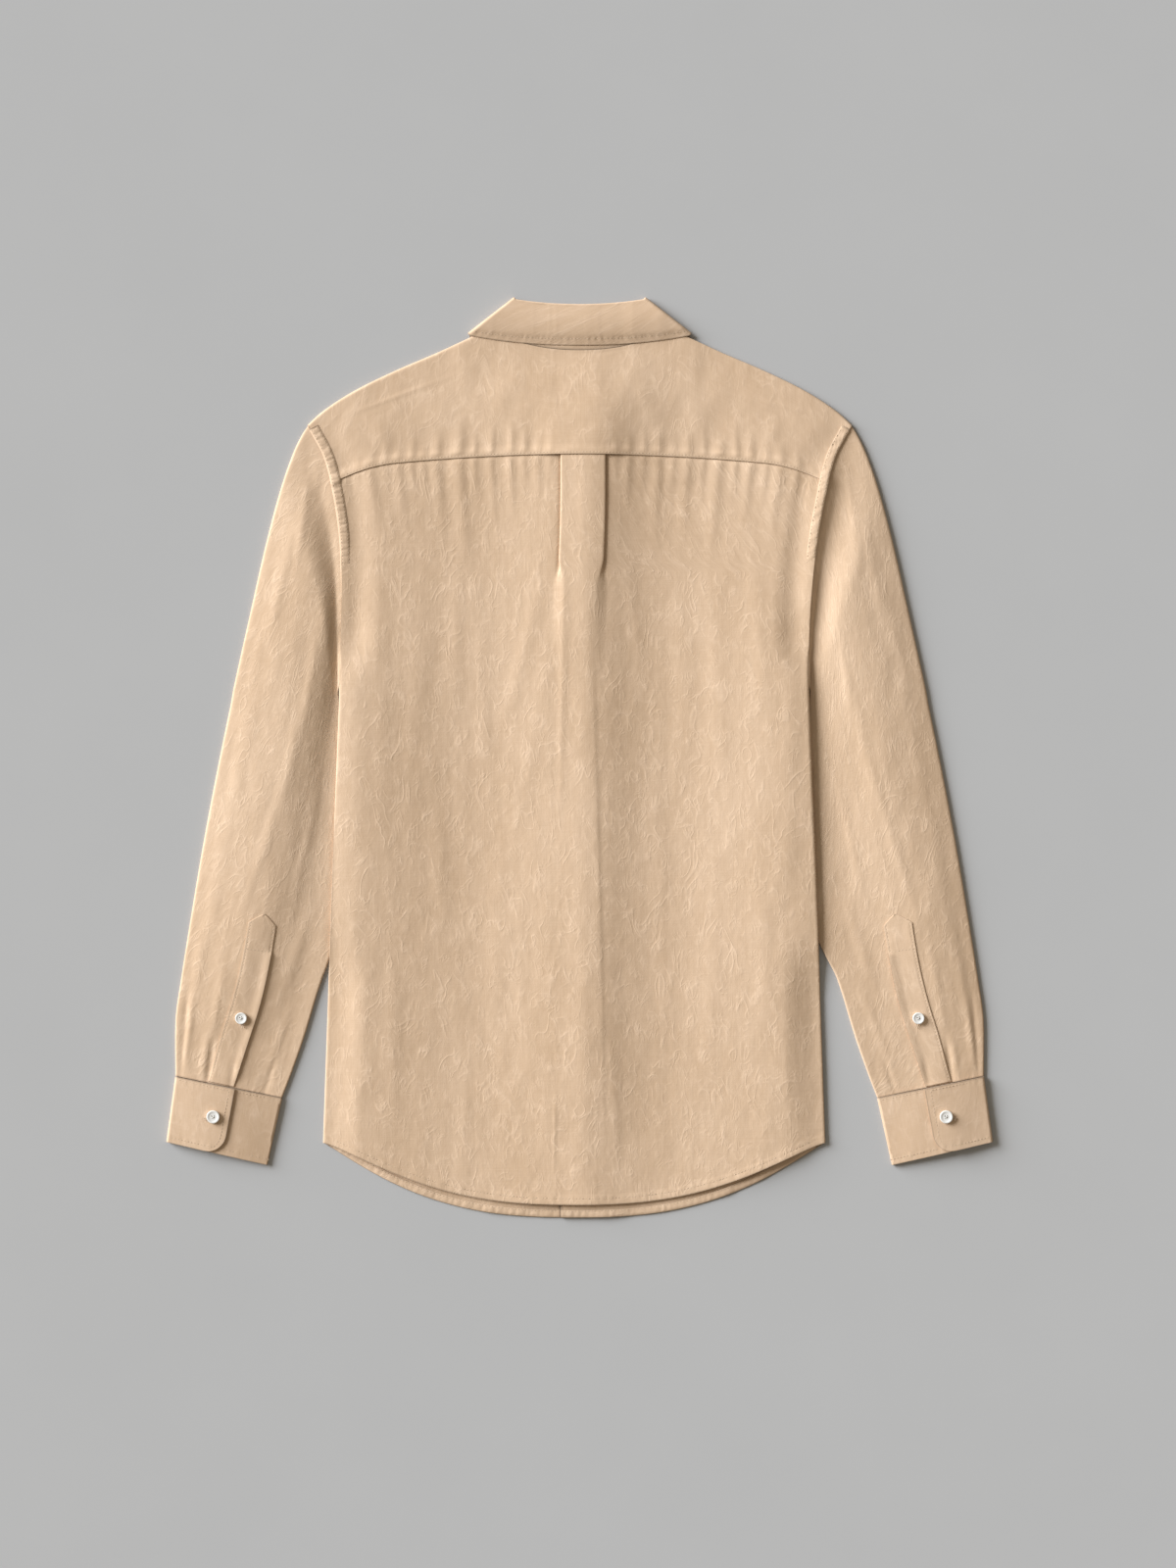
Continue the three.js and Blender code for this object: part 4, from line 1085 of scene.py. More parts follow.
@dataclass
class ArmholeFell:
    """The seam allowance of one armhole, turned onto yoke and back and stitched down twice."""

    yoke: Yoke
    side: Side
    material: bpy.types.Material
    upper: float = 287.5
    lower: float = 140.0
    sunk: float = 1.3  # how far it has sunk into the back where it is lost
    rows: tuple[float, float] = (1.4, 7.0)  # of stitches, in from the seam
    stations: tuple[float, ...] = (-0.5, 0.0, 0.7, 1.4, 2.2, 3.2, 4.3, 5.4, 6.3, 7.1, 7.8, 8.4)

    def strip(self) -> Strip:
        """Returns the strip where it lies."""
        sign = self.side.value
        y = steps(self.upper, self.lower, 0.95)
        line = points_of(CUT.edge(y, sign) + sign * CUT.seam, y)
        ahead = np.gradient(line, axis=0)
        ahead /= np.linalg.norm(ahead, axis=1, keepdims=True)
        inward = sign * points_of(ahead[:, 1], -ahead[:, 0])
        away = np.array(self.stations)
        x, y = np.moveaxis(line[:, None] + inward[:, None] * away[None, :, None], -1, 0)
        bend = self.yoke.shoulder_round
        fold = CUT.shoulder_fold(x) - CUT.half - bend
        past = np.clip(y - fold, 0, 0.9 * bend)
        z = self.yoke.body.back(x, np.minimum(y, fold)) + SHELL_HALF - bend + np.sqrt(bend**2 - past**2)
        above = y - CUT.yoke_seam(x) + self.yoke.lap
        z = z + self.yoke.rise(x, y) * ramp(-4, -1, above) - 0.5 * (away < 0)
        z = z - self.sunk * (1 - ramp(self.lower, self.lower + 60, y))
        depth, slant, raised = (0.42, 0.0, 1.0) if self.side is Side.LEFT else (0.75, -0.9, 0.5)
        dips = Puckers(240, 5.6, 51 + sign, 0.15)
        name = f"armhole_{self.side.word}_fell"
        return Strip(name, points_of(x, y, z), away, dips, depth, thickness=0.34, slant=slant, raised=raised)

    def build(self, sewing: Sewing) -> Piece:
        """Builds the strip and sews it down."""
        strip = self.strip()
        for row in self.rows:
            sewing.run(strip.line(row))
        return strip.build(self.material)


@dataclass
class Hems:
    """The turned hems: the back's lies under it, the fronts' show on their inner face."""

    body: Body
    material: bpy.types.Material
    reach: float = 213.0
    row: float = 5.6  # of stitches, in from the edge
    stations: tuple[float, ...] = (0.3, 0.8, 1.5, 2.4, 3.5, 4.6, 5.6, 6.4, 7.0)

    def _strip(self, name: str, ends: tuple[float, float], front: int, seed: int) -> Strip:
        """Returns one hem.

        Args:
            name: of the piece.
            ends: x of its ends.
            front: -1 or 1 for a front, 0 for the back.
            seed: for its dips.
        """
        x = steps(*ends, 1.3)
        curve = CUT.front_hem if front else CUT.back_hem
        slope = np.gradient(curve(x), x)
        inward = points_of(-slope, 1.0) / np.hypot(slope, 1)[:, None]
        away = np.array(self.stations)
        x, y = np.moveaxis(points_of(x, curve(x))[:, None] + inward[:, None] * away[None, :, None], -1, 0)
        over, length, depth = (1, 240, 0.32) if front else (-1, 460, 0.08)
        z = (self.body.front(x, y, front) if front else self.body.back(x, y)) + over * SHELL_HALF
        dips = Puckers(length, 6.2, seed, 0.2)
        return Strip(name, points_of(x, y, z), away, dips, depth, over, thickness=0.36)

    def build(self, sewing: Sewing) -> dict[str, Piece]:
        """Builds the hems and sews them, and returns them by the panel that they belong to."""
        lean = float(CUT.lean(np.array(CUT.side_end)))
        low, high, half = lean - self.reach, lean + self.reach, CUT.placket_half
        strips = {
            "back": self._strip("back_hem_fold", (low, high), 0, 63),
            "front_left": self._strip("front_left_hem_fold", (low, -half - CUT.seam), -1, 65),
            "front_right": self._strip("front_right_hem_fold", (-half, high), 1, 67),
        }
        x = steps(low + 4, high - 4, 2.0)
        y = CUT.back_hem(x) + self.row
        sewing.run(points_of(x, y, self.body.back(x, y) + SHELL_HALF + 0.1))
        for panel in ("front_left", "front_right"):
            sewing.run(strips[panel].line(self.row))
        return {panel: strip.build(self.material) for panel, strip in strips.items()}


# ---- Sleeves ------------------------------------------------------------------------------------


@dataclass
class Sleeve:
    """One sleeve: a flattened tube between its armhole, two folds and its cuff."""

    side: Side
    relief: Relief
    under: Relief
    material: bpy.types.Material
    tuck: float = 5.0  # its inner fold lies this far under the body
    loft: float = 5.0  # the upper layer stands this far off the lower one
    settled: float = 0.034  # share of the length over which it comes down from the armhole
    lap: float = 2.6  # its head lies this far under the armhole's band
    top_width: float = 150.0
    cuff_width: float = 96.0
    shoulder_y: float = 291.0
    lower_y: float = -298.2
    outer_end: float = -279.3
    turn: float = 1.3 / 120  # reach of the round at its two folds, as a share of the width
    outer: Curve = Curve(
        (291, 239.6), (270, 250.2), (235, 262.5), (184, 276), (132, 287.7), (63, 303),
        (-6, 317.3), (-74, 330.2), (-143, 341.8), (-195, 350), (-229, 354.6), (-279.3, 354.8),
    )
    inner: Curve = Curve(
        (-139, 219), (-178, 221.5), (-212, 231.5), (-247, 242), (-281, 254), (-298, 260.6)
    )

    def by_side(self, left: float, right: float) -> float:
        """Returns the value for this sleeve's side."""
        return left if self.side is Side.LEFT else right

    def outer_fold(self, v: Array) -> tuple[Array, Array]:
        """Returns the outer fold's place at a share of the length."""
        y = mix(self.shoulder_y, self.outer_end, v)
        return self.side.value * (self.outer(y) - CUT.half), y

    def inner_fold(self, v: Array) -> tuple[Array, Array]:
        """Returns the inner fold's place before it is pushed under the body."""
        sign = self.side.value
        y = mix(CUT.armpit, self.lower_y, v)
        free = sign * (self.inner(y) + CUT.half)
        beside = CUT.edge(y, sign) + sign * (CUT.seam + CUT.half)
        return mix(free, beside, ramp(-195, -140, y)), y

    def armhole(self, w: Array) -> tuple[Array, Array]:
        """Returns the armhole's line, 0 at the shoulder and 1 at the armpit."""
        sign = self.side.value
        fine = np.linspace(290.6, CUT.armpit, 400)
        run = travelled(points_of(CUT.edge(fine, sign) + sign * CUT.seam, fine))
        y = np.interp(w, run / run[-1], fine)
        return CUT.edge(y, sign) + sign * CUT.seam, y

    def plan(self, v: Array, w: Array) -> tuple[Array, Array]:
        """Returns x and y of places on the sleeve.

        Args:
            v: shares of its length, 0 at the armhole.
            w: shares of its width, 0 at the outer fold.

        Returns:
            Two arrays.
        """
        starts, ends, sides = (
            [mix(*pair, w) for pair in zip(self.outer_fold(at), self.inner_fold(at))]
            for at in (np.array(0.0), np.array(1.0), v)
        )
        x, y = (
            side + mix(head, end, v) - mix(start, end, v)
            for head, start, end, side in zip(self.armhole(w), starts, ends, sides)
        )
        clear = 0.6 * ramp(0, 0.014, v) * ramp(45, 60, y)
        reach = self.tuck + CUT.seam + CUT.half
        pushed = reach * (1 - ramp(10, 42, y)) * ramp(-195, -140, y) * ramp(0.8, 1, w)
        return x + self.side.value * (clear - pushed), y

    def top(self, v: Array, w: Array) -> tuple[Array, Array, Array]:
        """Returns places on the upper layer's middle, at shares v of the length and w of the width."""
        x, y = self.plan(v, w)
        width = mix(self.top_width, self.cuff_width, v)
        from_outer = 1 - (1 - np.clip((w * width + 1.5) / 50, 0, 1)) ** 2
        beside_body = ramp(self.by_side(13, 19), self.by_side(70, 92), (1 - w) * width)
        lens = from_outer * beside_body * ramp(self.by_side(0.02, 0.034), self.by_side(0.12, 0.15), v)
        rise = self.loft * (1 - 0.62 * ramp(0.72, 1, v)) * lens
        lying = CUT.half + CUT.pitch + 0.6 * (1 - ramp(0.75, 1, w)) * (1 - v) + rise
        from_fold = np.minimum(w, 1 - w) * width
        creased = np.maximum(self.relief(x, y), -0.45 - 0.5 * lens) * ramp(0.5, 9, from_fold)
        head = CUT.armhole_height(*self.armhole(w)) + CUT.front_lift(*self.armhole(w))
        settled = ramp(0, self.settled * self.by_side(1, 0.8), v)
        return x, y, mix(head, lying, settled) + creased * ramp(0.0, 0.03, v)

    def _round(self) -> tuple[Array, Array]:
        """Returns the way round the tube: shares of its width, and its level from 0 below to 1 above."""
        angles = np.radians(np.linspace(90, -90, 9))
        upper = np.linspace(1 - self.turn, self.turn, 84)
        lower = np.linspace(self.turn, 1 - self.turn, 40)[1:-1]
        out, level = self.turn * (1 - np.cos(angles)), (1 + np.sin(angles)) / 2
        w = np.concatenate([upper[:-1], out, lower, 1 - out[::-1], upper[:1]])
        return w, np.concatenate([np.ones(len(upper) - 1), level, 0 * lower, level[::-1], [1]])

    def build(self) -> Piece:
        """Builds the tube."""
        sign, word = self.side.value, self.side.word
        head = [np.array([0, 0, 0, 0.004, 0.009]), np.linspace(0.009, 0.06, 14)]
        v = joined(*head, np.linspace(0.06, 0.985, 212), np.linspace(0.985, 1, 6))[:, None]
        under_body = np.append([1, 0.6, 0.2], np.zeros(len(v) - 3))[:, None]
        w, level = self._round()
        v, w = np.broadcast_arrays(v, w)
        x, y, high = self.top(v, w)
        low = CUT.half + np.clip(self.under(x, y), -0.15, 0.4) * ramp(0.01, 0.08, np.minimum(w, 1 - w))
        low = low + mix(CUT.front_lift(*self.armhole(w)), 0 * v, ramp(0, self.settled, v))
        closed = 1 - ramp(0.004, 0.03, v)
        z = mix(low + 0.85 * closed, high - 0.95 * closed, level)
        grid = points_of(x - sign * self.lap * under_body, y, z)[:, ::-sign]
        turned = math.radians(10) * sign
        along = grid[..., 1] * math.cos(turned) - grid[..., 0] * math.sin(turned)
        uv = on_cloth(travelled(grid, 1), along, (sign * 2.0, 3.0))
        sheet = Sheet(f"sleeve_{word}_tube", grid, uv, ring=True, node=f"sleeve_{word}", flat=(0.36, 0.58))
        return sheet.lay(self.material, area=0.125)


@dataclass
class SleevePlacket:
    """The pointed band over a sleeve's slit: stitched down outside and over its point, free inside."""

    sleeve: Sleeve
    material: bpy.types.Material
    bottom: tuple[float, float] = (0.9975, 0.12)  # v and half width as shares
    upper: tuple[float, float] = (0.699, 0.097)
    bend: tuple[float, float, float] = (0.425, 0.244, -0.194)  # its middle, and how that moves upwards
    skew: float = 0.0135  # its outer shoulder lies further down the sleeve than its inner one
    point: float = 0.018
    rows: int = 150  # of points up to its shoulders
    half: float = 12.0
    over: float = 0.84  # its middle lies this far over the sleeve's
    thickness: float = 0.6
    box: float = 24.0  # from its shoulders down to the stitches that close the slit
    row: float = 1.9  # of stitches, in from its edges
    free_lift: float = 0.9
    margin: tuple[float, ...] = (0, 0.4, 0.9, 1.4, 1.9, 2.4, 3.0, 4.0, 5.5, 7.5, 9.7)

    def points(self, q: Array) -> tuple[Array, Array]:
        """Returns points on the band's middle and their distance up from the cuff.

        Args:
            q: shares across, -1 at the outer edge and 1 at the inner one.

        Returns:
            Rows of points upwards with a column for each share, and a column of distances.
        """
        t = np.linspace(0, 1, self.rows)[:, None]
        v, half = (mix(a, b, t) for a, b in zip(self.bottom, self.upper))
        middle = self.bend[0] + self.bend[1] * t + self.bend[2] * t * t
        skew = self.skew * t * half / self.upper[1]
        tip = np.linspace(0.07, 1, 14)[:, None]
        narrower = np.maximum(1 - tip, 0.012) ** 0.85
        v = np.concatenate([v, self.upper[0] - self.point * tip])
        middle = np.concatenate([middle, sum(self.bend) + 0 * tip])
        half = np.concatenate([half, self.upper[1] * narrower])
        skew = np.concatenate([skew, self.skew * narrower])
        x, y, z = self.sleeve.top(v - q * skew, middle + q * half)
        grid = points_of(x, y, z + self.over)
        run = travelled(grid[:, len(q) // 2])[:, None]
        grid[..., 2] += self._sewn(q + 0 * run, run + 0 * q)
        return grid, run

    def _sewn(self, q: Array, run: Array) -> Array:
        """Returns the low relief of its stitches and its free edge."""
        shoulder = run[self.rows - 1, 0]
        closed = ramp(shoulder - self.box - 1.5, shoulder - self.box + 1.5, run)
        outer, inner = (1 + q) * self.half, (1 - q) * self.half
        ripple = 0.45 + 0.55 * Puckers(220, 5.2, 57 + self.sleeve.side.value)(run, outer)
        to_tip = (run.max() - run) * 0.8 + 6 * np.abs(q) * (run > shoulder)
        edge = bell(outer - self.row, 0.7) + bell(inner - self.row, 0.7) * closed
        groove = edge * (run < shoulder + 1) + bell(to_tip - self.row, 0.8) * (run >= shoulder + 1)
        groove = groove + bell(run - shoulder + self.box, 0.7) * ramp(0, 2, np.minimum(outer, inner))
        rim = bell(outer, 0.5) + bell(inner, 0.5) * closed
        lifted = self.free_lift * (1 - ramp(0, 8, inner)) * (1 - closed) * ramp(0, 14, run)
        return lifted - 0.22 * groove * ripple - 0.14 * rim

    def build(self, sewing: Sewing) -> Piece:
        """Builds the band and sews it down."""
        side = np.array(self.margin) / self.half - 1
        q = np.concatenate([side, [0.0], -side[::-1]])
        grid, run = self.points(q)
        face = np.array([0, 0, self.thickness / 2])
        outer, inner = (self.points(np.array([s * (1 - self.row / self.half)]))[0][:, 0] for s in (-1, 1))
        boxed = run[:, 0] > run[self.rows - 1, 0] - self.box
        for line in (outer[: self.rows + 2], inner[boxed][:-12], grid[int(np.argmax(boxed)), 3:-3]):
            sewing.run(line + face)
        sign, word = self.sleeve.side.value, self.sleeve.side.word
        uv = on_cloth(q * self.half, run, (sign * 4.0, 3.0))[::-1, ::sign]
        node = f"sleeve_placket_{word}"
        sheet = Sheet(f"{node}_band", grid[::-1, ::sign], uv, self.thickness, node=node, flat=(0.024, 0.16))
        return sheet.lay(self.material, rests_on=[f"sleeve_{word}_tube"])


# ---- Cuffs --------------------------------------------------------------------------------------


@dataclass
class Cuff:
    """A cuff, folded round with its rounded flap on top."""

    side: Side
    material: bpy.types.Material
    top_outer: tuple[float, float] = (354.8, -279.6)
    top_inner: tuple[float, float] = (260.6, -298.6)
    bottom_outer: tuple[float, float] = (362.6, -336.8)
    bottom_inner: tuple[float, float] = (273.6, -357.4)
    flap: float = 0.56
    under: float = 0.3
    corner: float = 17.0
    wall: float = 1.5
    row: float = 4.8  # of stitches, in from the edges
    hump: float = 2.3  # how high the upper layers bow up between the cuff's folds

    @property
    def height(self) -> float:
        """The length of the cuff's outer fold."""
        return math.dist(self.top_outer, self.bottom_outer)

    def plan(self, share: Array, depth: Array) -> tuple[Array, Array]:
        """Returns x and y at a share of the width from the outer fold and of the depth."""
        tops = [mix(a, b, share) for a, b in zip(self.top_outer, self.top_inner)]
        feet = [mix(a, b, share) for a, b in zip(self.bottom_outer, self.bottom_inner)]
        x, y = (mix(top, foot, depth) for top, foot in zip(tops, feet))
        return self.side.value * x, y

    def width(self, depth: Array) -> Array:
        """Returns the width at a share of the depth."""
        a, b = self.plan(np.array(0.0), depth), self.plan(np.array(1.0), depth)
        return np.hypot(a[0] - b[0], a[1] - b[1])

    def flap_end(self, depth: Array) -> Array:
        """Returns how far in from the outer fold the flap ends."""
        past = np.clip(self.corner - (1 - depth) * self.height, 0, self.corner)
        return self.flap * self.width(depth) - (self.corner - np.sqrt(self.corner**2 - past**2))

    def bow(self, share: Array) -> Array:
        """Returns how high the upper layers stand at a share of the width."""
        return self.hump * np.sin(np.pi * np.clip(share, 0, 1)) ** 1.2

    def face(self, depth: Array, s: Array, layer: int = 2) -> Array:
        """Returns points on the face of a layer, s in from the outer fold; 2 is the flap."""
        share = s / self.width(depth)
        level = self.wall / 2 + layer * (self.wall + CUT.seam) + self.bow(share) + CUFF_SHELL / 2
        return points_of(*self.plan(share, depth), level)

    def sew(self, sewing: Sewing) -> None:
        """Sews the rows along the cuff's seam, its flap and its lower edge."""
        inset = self.row / self.height
        down = np.linspace(0.04, 1 - inset, 60)
        end = self.flap_end(down) - self.row
        top, foot = down[:1], np.array([1 - inset])
        sewing.run(self.face(top, np.linspace(3, end[0], 60)))
        sewing.run(self.face(down, end))
        sewing.run(self.face(foot, np.linspace(3, end[-1], 60)))
        far = float(self.width(top)[0])
        for depth in (top, foot):
            sewing.run(self.face(depth, np.linspace(self.flap_end(depth)[0] + 3, far - 3, 60), 1))

    def build(self) -> Piece:
        """Builds the cuff."""
        sign, word = self.side.value, self.side.word
        depth = joined(np.linspace(0, 0.08, 7), np.linspace(0.08, 0.7, 30), np.linspace(0.7, 1, 40))[:, None]
        width = self.width(depth)
        half, pitch = self.wall / 2, self.wall + CUT.seam
        inner, outer = np.radians(np.linspace(90, -90, 9)), np.radians(np.linspace(-90, 90, 11))
        on_top = mix(half + pitch, self.flap_end(depth), np.linspace(0, 1, 44)[1:])
        runs = [
            (np.linspace(self.under, 0.985, 52) * width, half + pitch),
            (width - half - pitch / 2 * (1 - np.cos(inner)), half + pitch / 2 * (1 + np.sin(inner))),
            (np.linspace(0.95, 0.05, 34) * width, half),
            (half + pitch * (1 - np.cos(outer)) + 0 * width, half + pitch * (1 + np.sin(outer))),
            (on_top, half + 2 * pitch),
        ]
        s, z = (np.concatenate(part, 1) for part in zip(*(np.broadcast_arrays(*run) for run in runs)))
        x, y = self.plan(s / width, depth)
        upper = z > half + 0.6 * pitch
        z = z + np.where(upper, self._sewn(s, depth * self.height) + self.bow(s / width), 0)
        grid = points_of(x, y, z)
        uv = on_cloth(travelled(grid, 1), -62 * depth, (sign * 5.0, 4.0))[:, ::sign]
        node, flat = f"cuff_{word}", (0.245, 0.062)
        sheet = Sheet(f"{node}_band", grid[:, ::sign], uv, CUFF_SHELL, False, node, flat, Hold.FOLDED)
        return sheet.lay(self.material)

    def _sewn(self, s: Array, down: Array) -> Array:
        """Returns the low relief of the upper layers' sewing and wear."""
        ripple = Puckers(120, 5.2, 71 + self.side.value)
        fine = Puckers(120, 6.4, 83 + self.side.value)
        at_top = bell(down - 3.2, 2.4) * (ripple(s, down) - 0.5)
        at_foot = bell(self.height - down - 5.2, 2.2) * (fine(s, down) - 0.5)
        soft = 0.16 * np.sin(s / 11 + down / 17 + self.side.value) + 0.12 * np.sin(s / 6.3 - down / 12)
        return 0.2 * at_top + 0.2 * at_foot + 0.5 * soft


# ---- Collar -------------------------------------------------------------------------------------


class Part(Enum):
    """The stretches of the collar."""

    BACK = "behind the neck"
    FOLD = "round its side fold"
    FRONT = "at the front"


@dataclass
class Collar:
    """The stand round the neck, and the leaf turned down over it."""

    body: Body
    material: bpy.types.Material
    stand_top: tuple[float, float, float] = (57.5, 395.4, 5.0)
    stand_front: tuple[float, float] = (-13, 309)
    stand_pull: tuple[float, float] = (54, 340)
    stand_neck: float = 79.0
    stand_end: float = -15.0
    leaf_back: tuple[float, float, float] = (96.5, 361.4, 8.6)
    leaf_pull: tuple[float, float] = (96, 318)
    leaf_point: tuple[float, float] = (74, 262)
    leaf_start: float = 0.29
    row: float = 5.6  # of stitches, in from the leaf's edge
    roll: float = 1.6
    shows: float = 2.5  # the leaf's points above this height show
    dimples: Puckers = field(default_factory=lambda: Puckers(230, 5.0, 91, 0.2))
    leaf_round: float = 2.2
    fold_inset: float = 3.0

    def _stand_back(self, q: Array) -> tuple[Array, Array]:
        """Returns the stand's upper edge behind the neck."""
        x, y, rise = self.stand_top
        return x * q, y + rise * q * q

    def _leaf_edge(self, q: Array) -> tuple[Array, Array]:
        """Returns the leaf's lower edge behind the neck."""
        x, y, rise = self.leaf_back
        return x * q, y + rise * q**2.2

    def _front_edge(self, start: tuple, pull: tuple, end: tuple, t: Array) -> tuple[Array, Array]:
        """Returns places on a quadratic curve from start to end, drawn towards pull."""
        s = 1 - t
        return tuple(s * s * a + 2 * s * t * c + t * t * b for a, c, b in zip(start, pull, end))

    def _front_z(self, x: Array, side: int) -> Array:
        """Returns the height of the stand's lower edge at the front; x grows away from the middle."""
        return CUT.half + CUT.front_side_lift(side * np.maximum(0, x), np.array(CUT.neck_front_y), side)

    def _top_z(self, x: Array, side: int) -> Array:
        """Returns the height of the stand's upper edge at the front."""
        return mix(self._front_z(np.array(0.0), side), CUT.half + CUT.point_lift, ramp(20, 34, x))

    def _back_z(self, x: float) -> Array:
        """Returns the height of the neck seam behind the neck."""
        return self.body.back(np.array(x), CUT.neck_back(x) - CUT.seam)

    def _columns(self, build: Callable[[Part, float, int], Array]) -> Array:
        """Returns columns of points from the left front end, behind the neck, to the right one."""
        halves = []
        for side in (-1, 1):
            columns = [build(Part.BACK, q, side) for q in np.linspace(0, 1, 84)[:-1]]
            columns += [build(Part.FOLD, a, side) for a in np.radians(np.linspace(90, -90, 11))]
            halves.append(columns + [build(Part.FRONT, q, side) for q in np.linspace(1, 0, 40)[1:]])
        return np.stack([*halves[0][:0:-1], *halves[1]], 1)

    def _stand_column(self, part: Part, value: float, side: int) -> Array:
        """Returns one column of the stand.

        Args:
            part: the stretch that it is in.
            value: its share of that stretch, or its angle round the fold.
            side: -1 or 1.

        Returns:
            Its points from the neck seam up.
        """
        neck, high = self.stand_neck, self._stand_back(1.0)
        if part is Part.BACK:
            low, high = (neck * value, CUT.neck_back(neck * value)), self._stand_back(value)
            low_z = high_z = self._back_z(low[0])
        elif part is Part.FRONT:
            x = mix(self.stand_end, neck, value)
            low = (x, CUT.front_neck(x))
            high = self._front_edge(self.stand_front, self.stand_pull, high, value)
            low_z, high_z = self._front_z(x, side), self._top_z(high[0], side)
        else:
            up, out = (1 + math.sin(value)) / 2, math.cos(value)
            low_y = mix(CUT.front_neck(neck), CUT.neck_back(neck) + 0.7 * out, ramp(0.05, 0.3, up))
            low, high = (neck + 0.5 * out, low_y), (high[0] + 0.5 * out, high[1] + 0.6 * out)
            low_z = high_z = mix(self._front_z(np.array(neck), side), self._back_z(neck), up)
        t = np.linspace(0, 1, 16)
        x, y, z = (mix(a, b, t) for a, b in zip((*low, low_z), (*high, high_z)))
        return points_of(side * x, y, z)

    def _leaf_column(self, part: Part, value: float, side: int) -> Array:
        """Returns one column of the leaf, from its edge over its fold to the stand.

        Args:
            part: the stretch that it is in.
            value: its share of that stretch, or its angle round the fold.
            side: -1 or 1.

        Returns:
            Its points.
        """
        edge, fold, up, reach = self._leaf_edge(1.0), self._stand_back(1.0), 1.0, 0.0
        if part is Part.BACK:
            edge, fold = self._leaf_edge(value), self._stand_back(value)
        elif part is Part.FRONT:
            edge = self._front_edge(self.leaf_point, self.leaf_pull, edge, value)
            share = mix(self.leaf_start, 1, value)
            fold, up = self._front_edge(self.stand_front, self.stand_pull, fold, share), 0.0
        else:
            up = (1 + math.sin(value)) / 2
            reach = self.fold_inset - CUT.half - self.leaf_round * (1 - math.cos(value))
        ahead = np.array(fold, float) - np.array(edge, float)
        length = float(np.hypot(*ahead))
        ahead = ahead / length
        along = np.append(joined(np.linspace(0, 0.25, 9), np.linspace(0.25, 0.97, 15)) * length, length + 0.2)
        x, y = edge[0] + ahead[0] * along, edge[1] + ahead[1] * along
        inside = np.minimum(y, CUT.neck_back(np.minimum(x, CUT.neck_half)) - CUT.seam)
        inside = np.minimum(inside, CUT.shoulder_fold(x) - CUT.half - self.leaf_round - 0.2)
        bulge = self.roll * np.sin(np.pi * np.clip(along, 0, length) / length)
        settled = 0.85 * (1 - ramp(0, 11, along)) * up
        pulled = 0.27 * bell(along - self.row, 1.7) * self.dimples(side * x + 110, along)
        lies = self.body.back(side * x, inside) + CUT.pitch + 0.05 + bulge - settled - pulled
        neck_z = self._back_z(self.stand_neck * (value if part is Part.BACK else 1))
        stand_z = mix(self._top_z(fold[0], side), neck_z, up)
        top_z = mix(CUT.half, np.maximum(stand_z + CUT.pitch, lies[-1]), up)
        turn = np.radians(np.array([75, 50, 25, 0, -30, -60, -90]))
        along = np.append(along, length + 0.2 + 1.5 * np.cos(turn))
        z = np.append(mix(CUT.half, lies, up), mix(stand_z, top_z, (1 + np.sin(turn)) / 2))
        x, y = edge[0] + ahead[0] * along + ahead[1] * reach, edge[1] + ahead[1] * along - ahead[0] * reach
        return points_of(side * x, y, z)

    def build(self, sewing: Sewing) -> None:
        """Builds the stand and the leaf, and sews the leaf's edge."""
        stand = self._columns(self._stand_column)
        leaf = self._columns(self._leaf_column)
        run, down = travelled(leaf[2]), travelled(leaf)
        near = bell(down - 5.4, 2.2) + 0.4 * bell(down - 1.5, 1.5)
        ripple = Puckers(run[-1], 6.2, 91)(run + 0 * down, down) - 0.55
        leaf[..., 2] += 0.24 * near * ripple * (leaf[..., 2] > self.shows)
        columns = zip(down.T, leaf.transpose(1, 2, 0))
        rows = np.array([[np.interp(self.row, away, axis) for axis in axes] for away, axes in columns])
        sewing.run(rows[rows[:, 2] > self.shows] + np.array([0, 0, SHELL_HALF]))
        self._sheet("stand", stand, 6.0, (0.42, 0.045)).lay(self.material, area=0.0145)
        self._sheet("leaf", leaf, 7.0, (0.45, 0.085)).lay(self.material, rests_on=["yoke_panel"], area=0.02)

    def _sheet(self, name: str, grid: Array, start: float, flat: tuple[float, float]) -> Sheet:
        """Returns the stand or the leaf; start is its place on the flat cloth."""
        grid, node = grid[::-1], f"collar_{name}"
        uv = on_cloth(travelled(grid, 1), -travelled(grid), (start, 5.0))
        return Sheet(f"{node}_band", grid, uv, node=node, flat=flat, held=Hold.FOLDED)


# ---- Buttons ------------------------------------------------------------------------------------


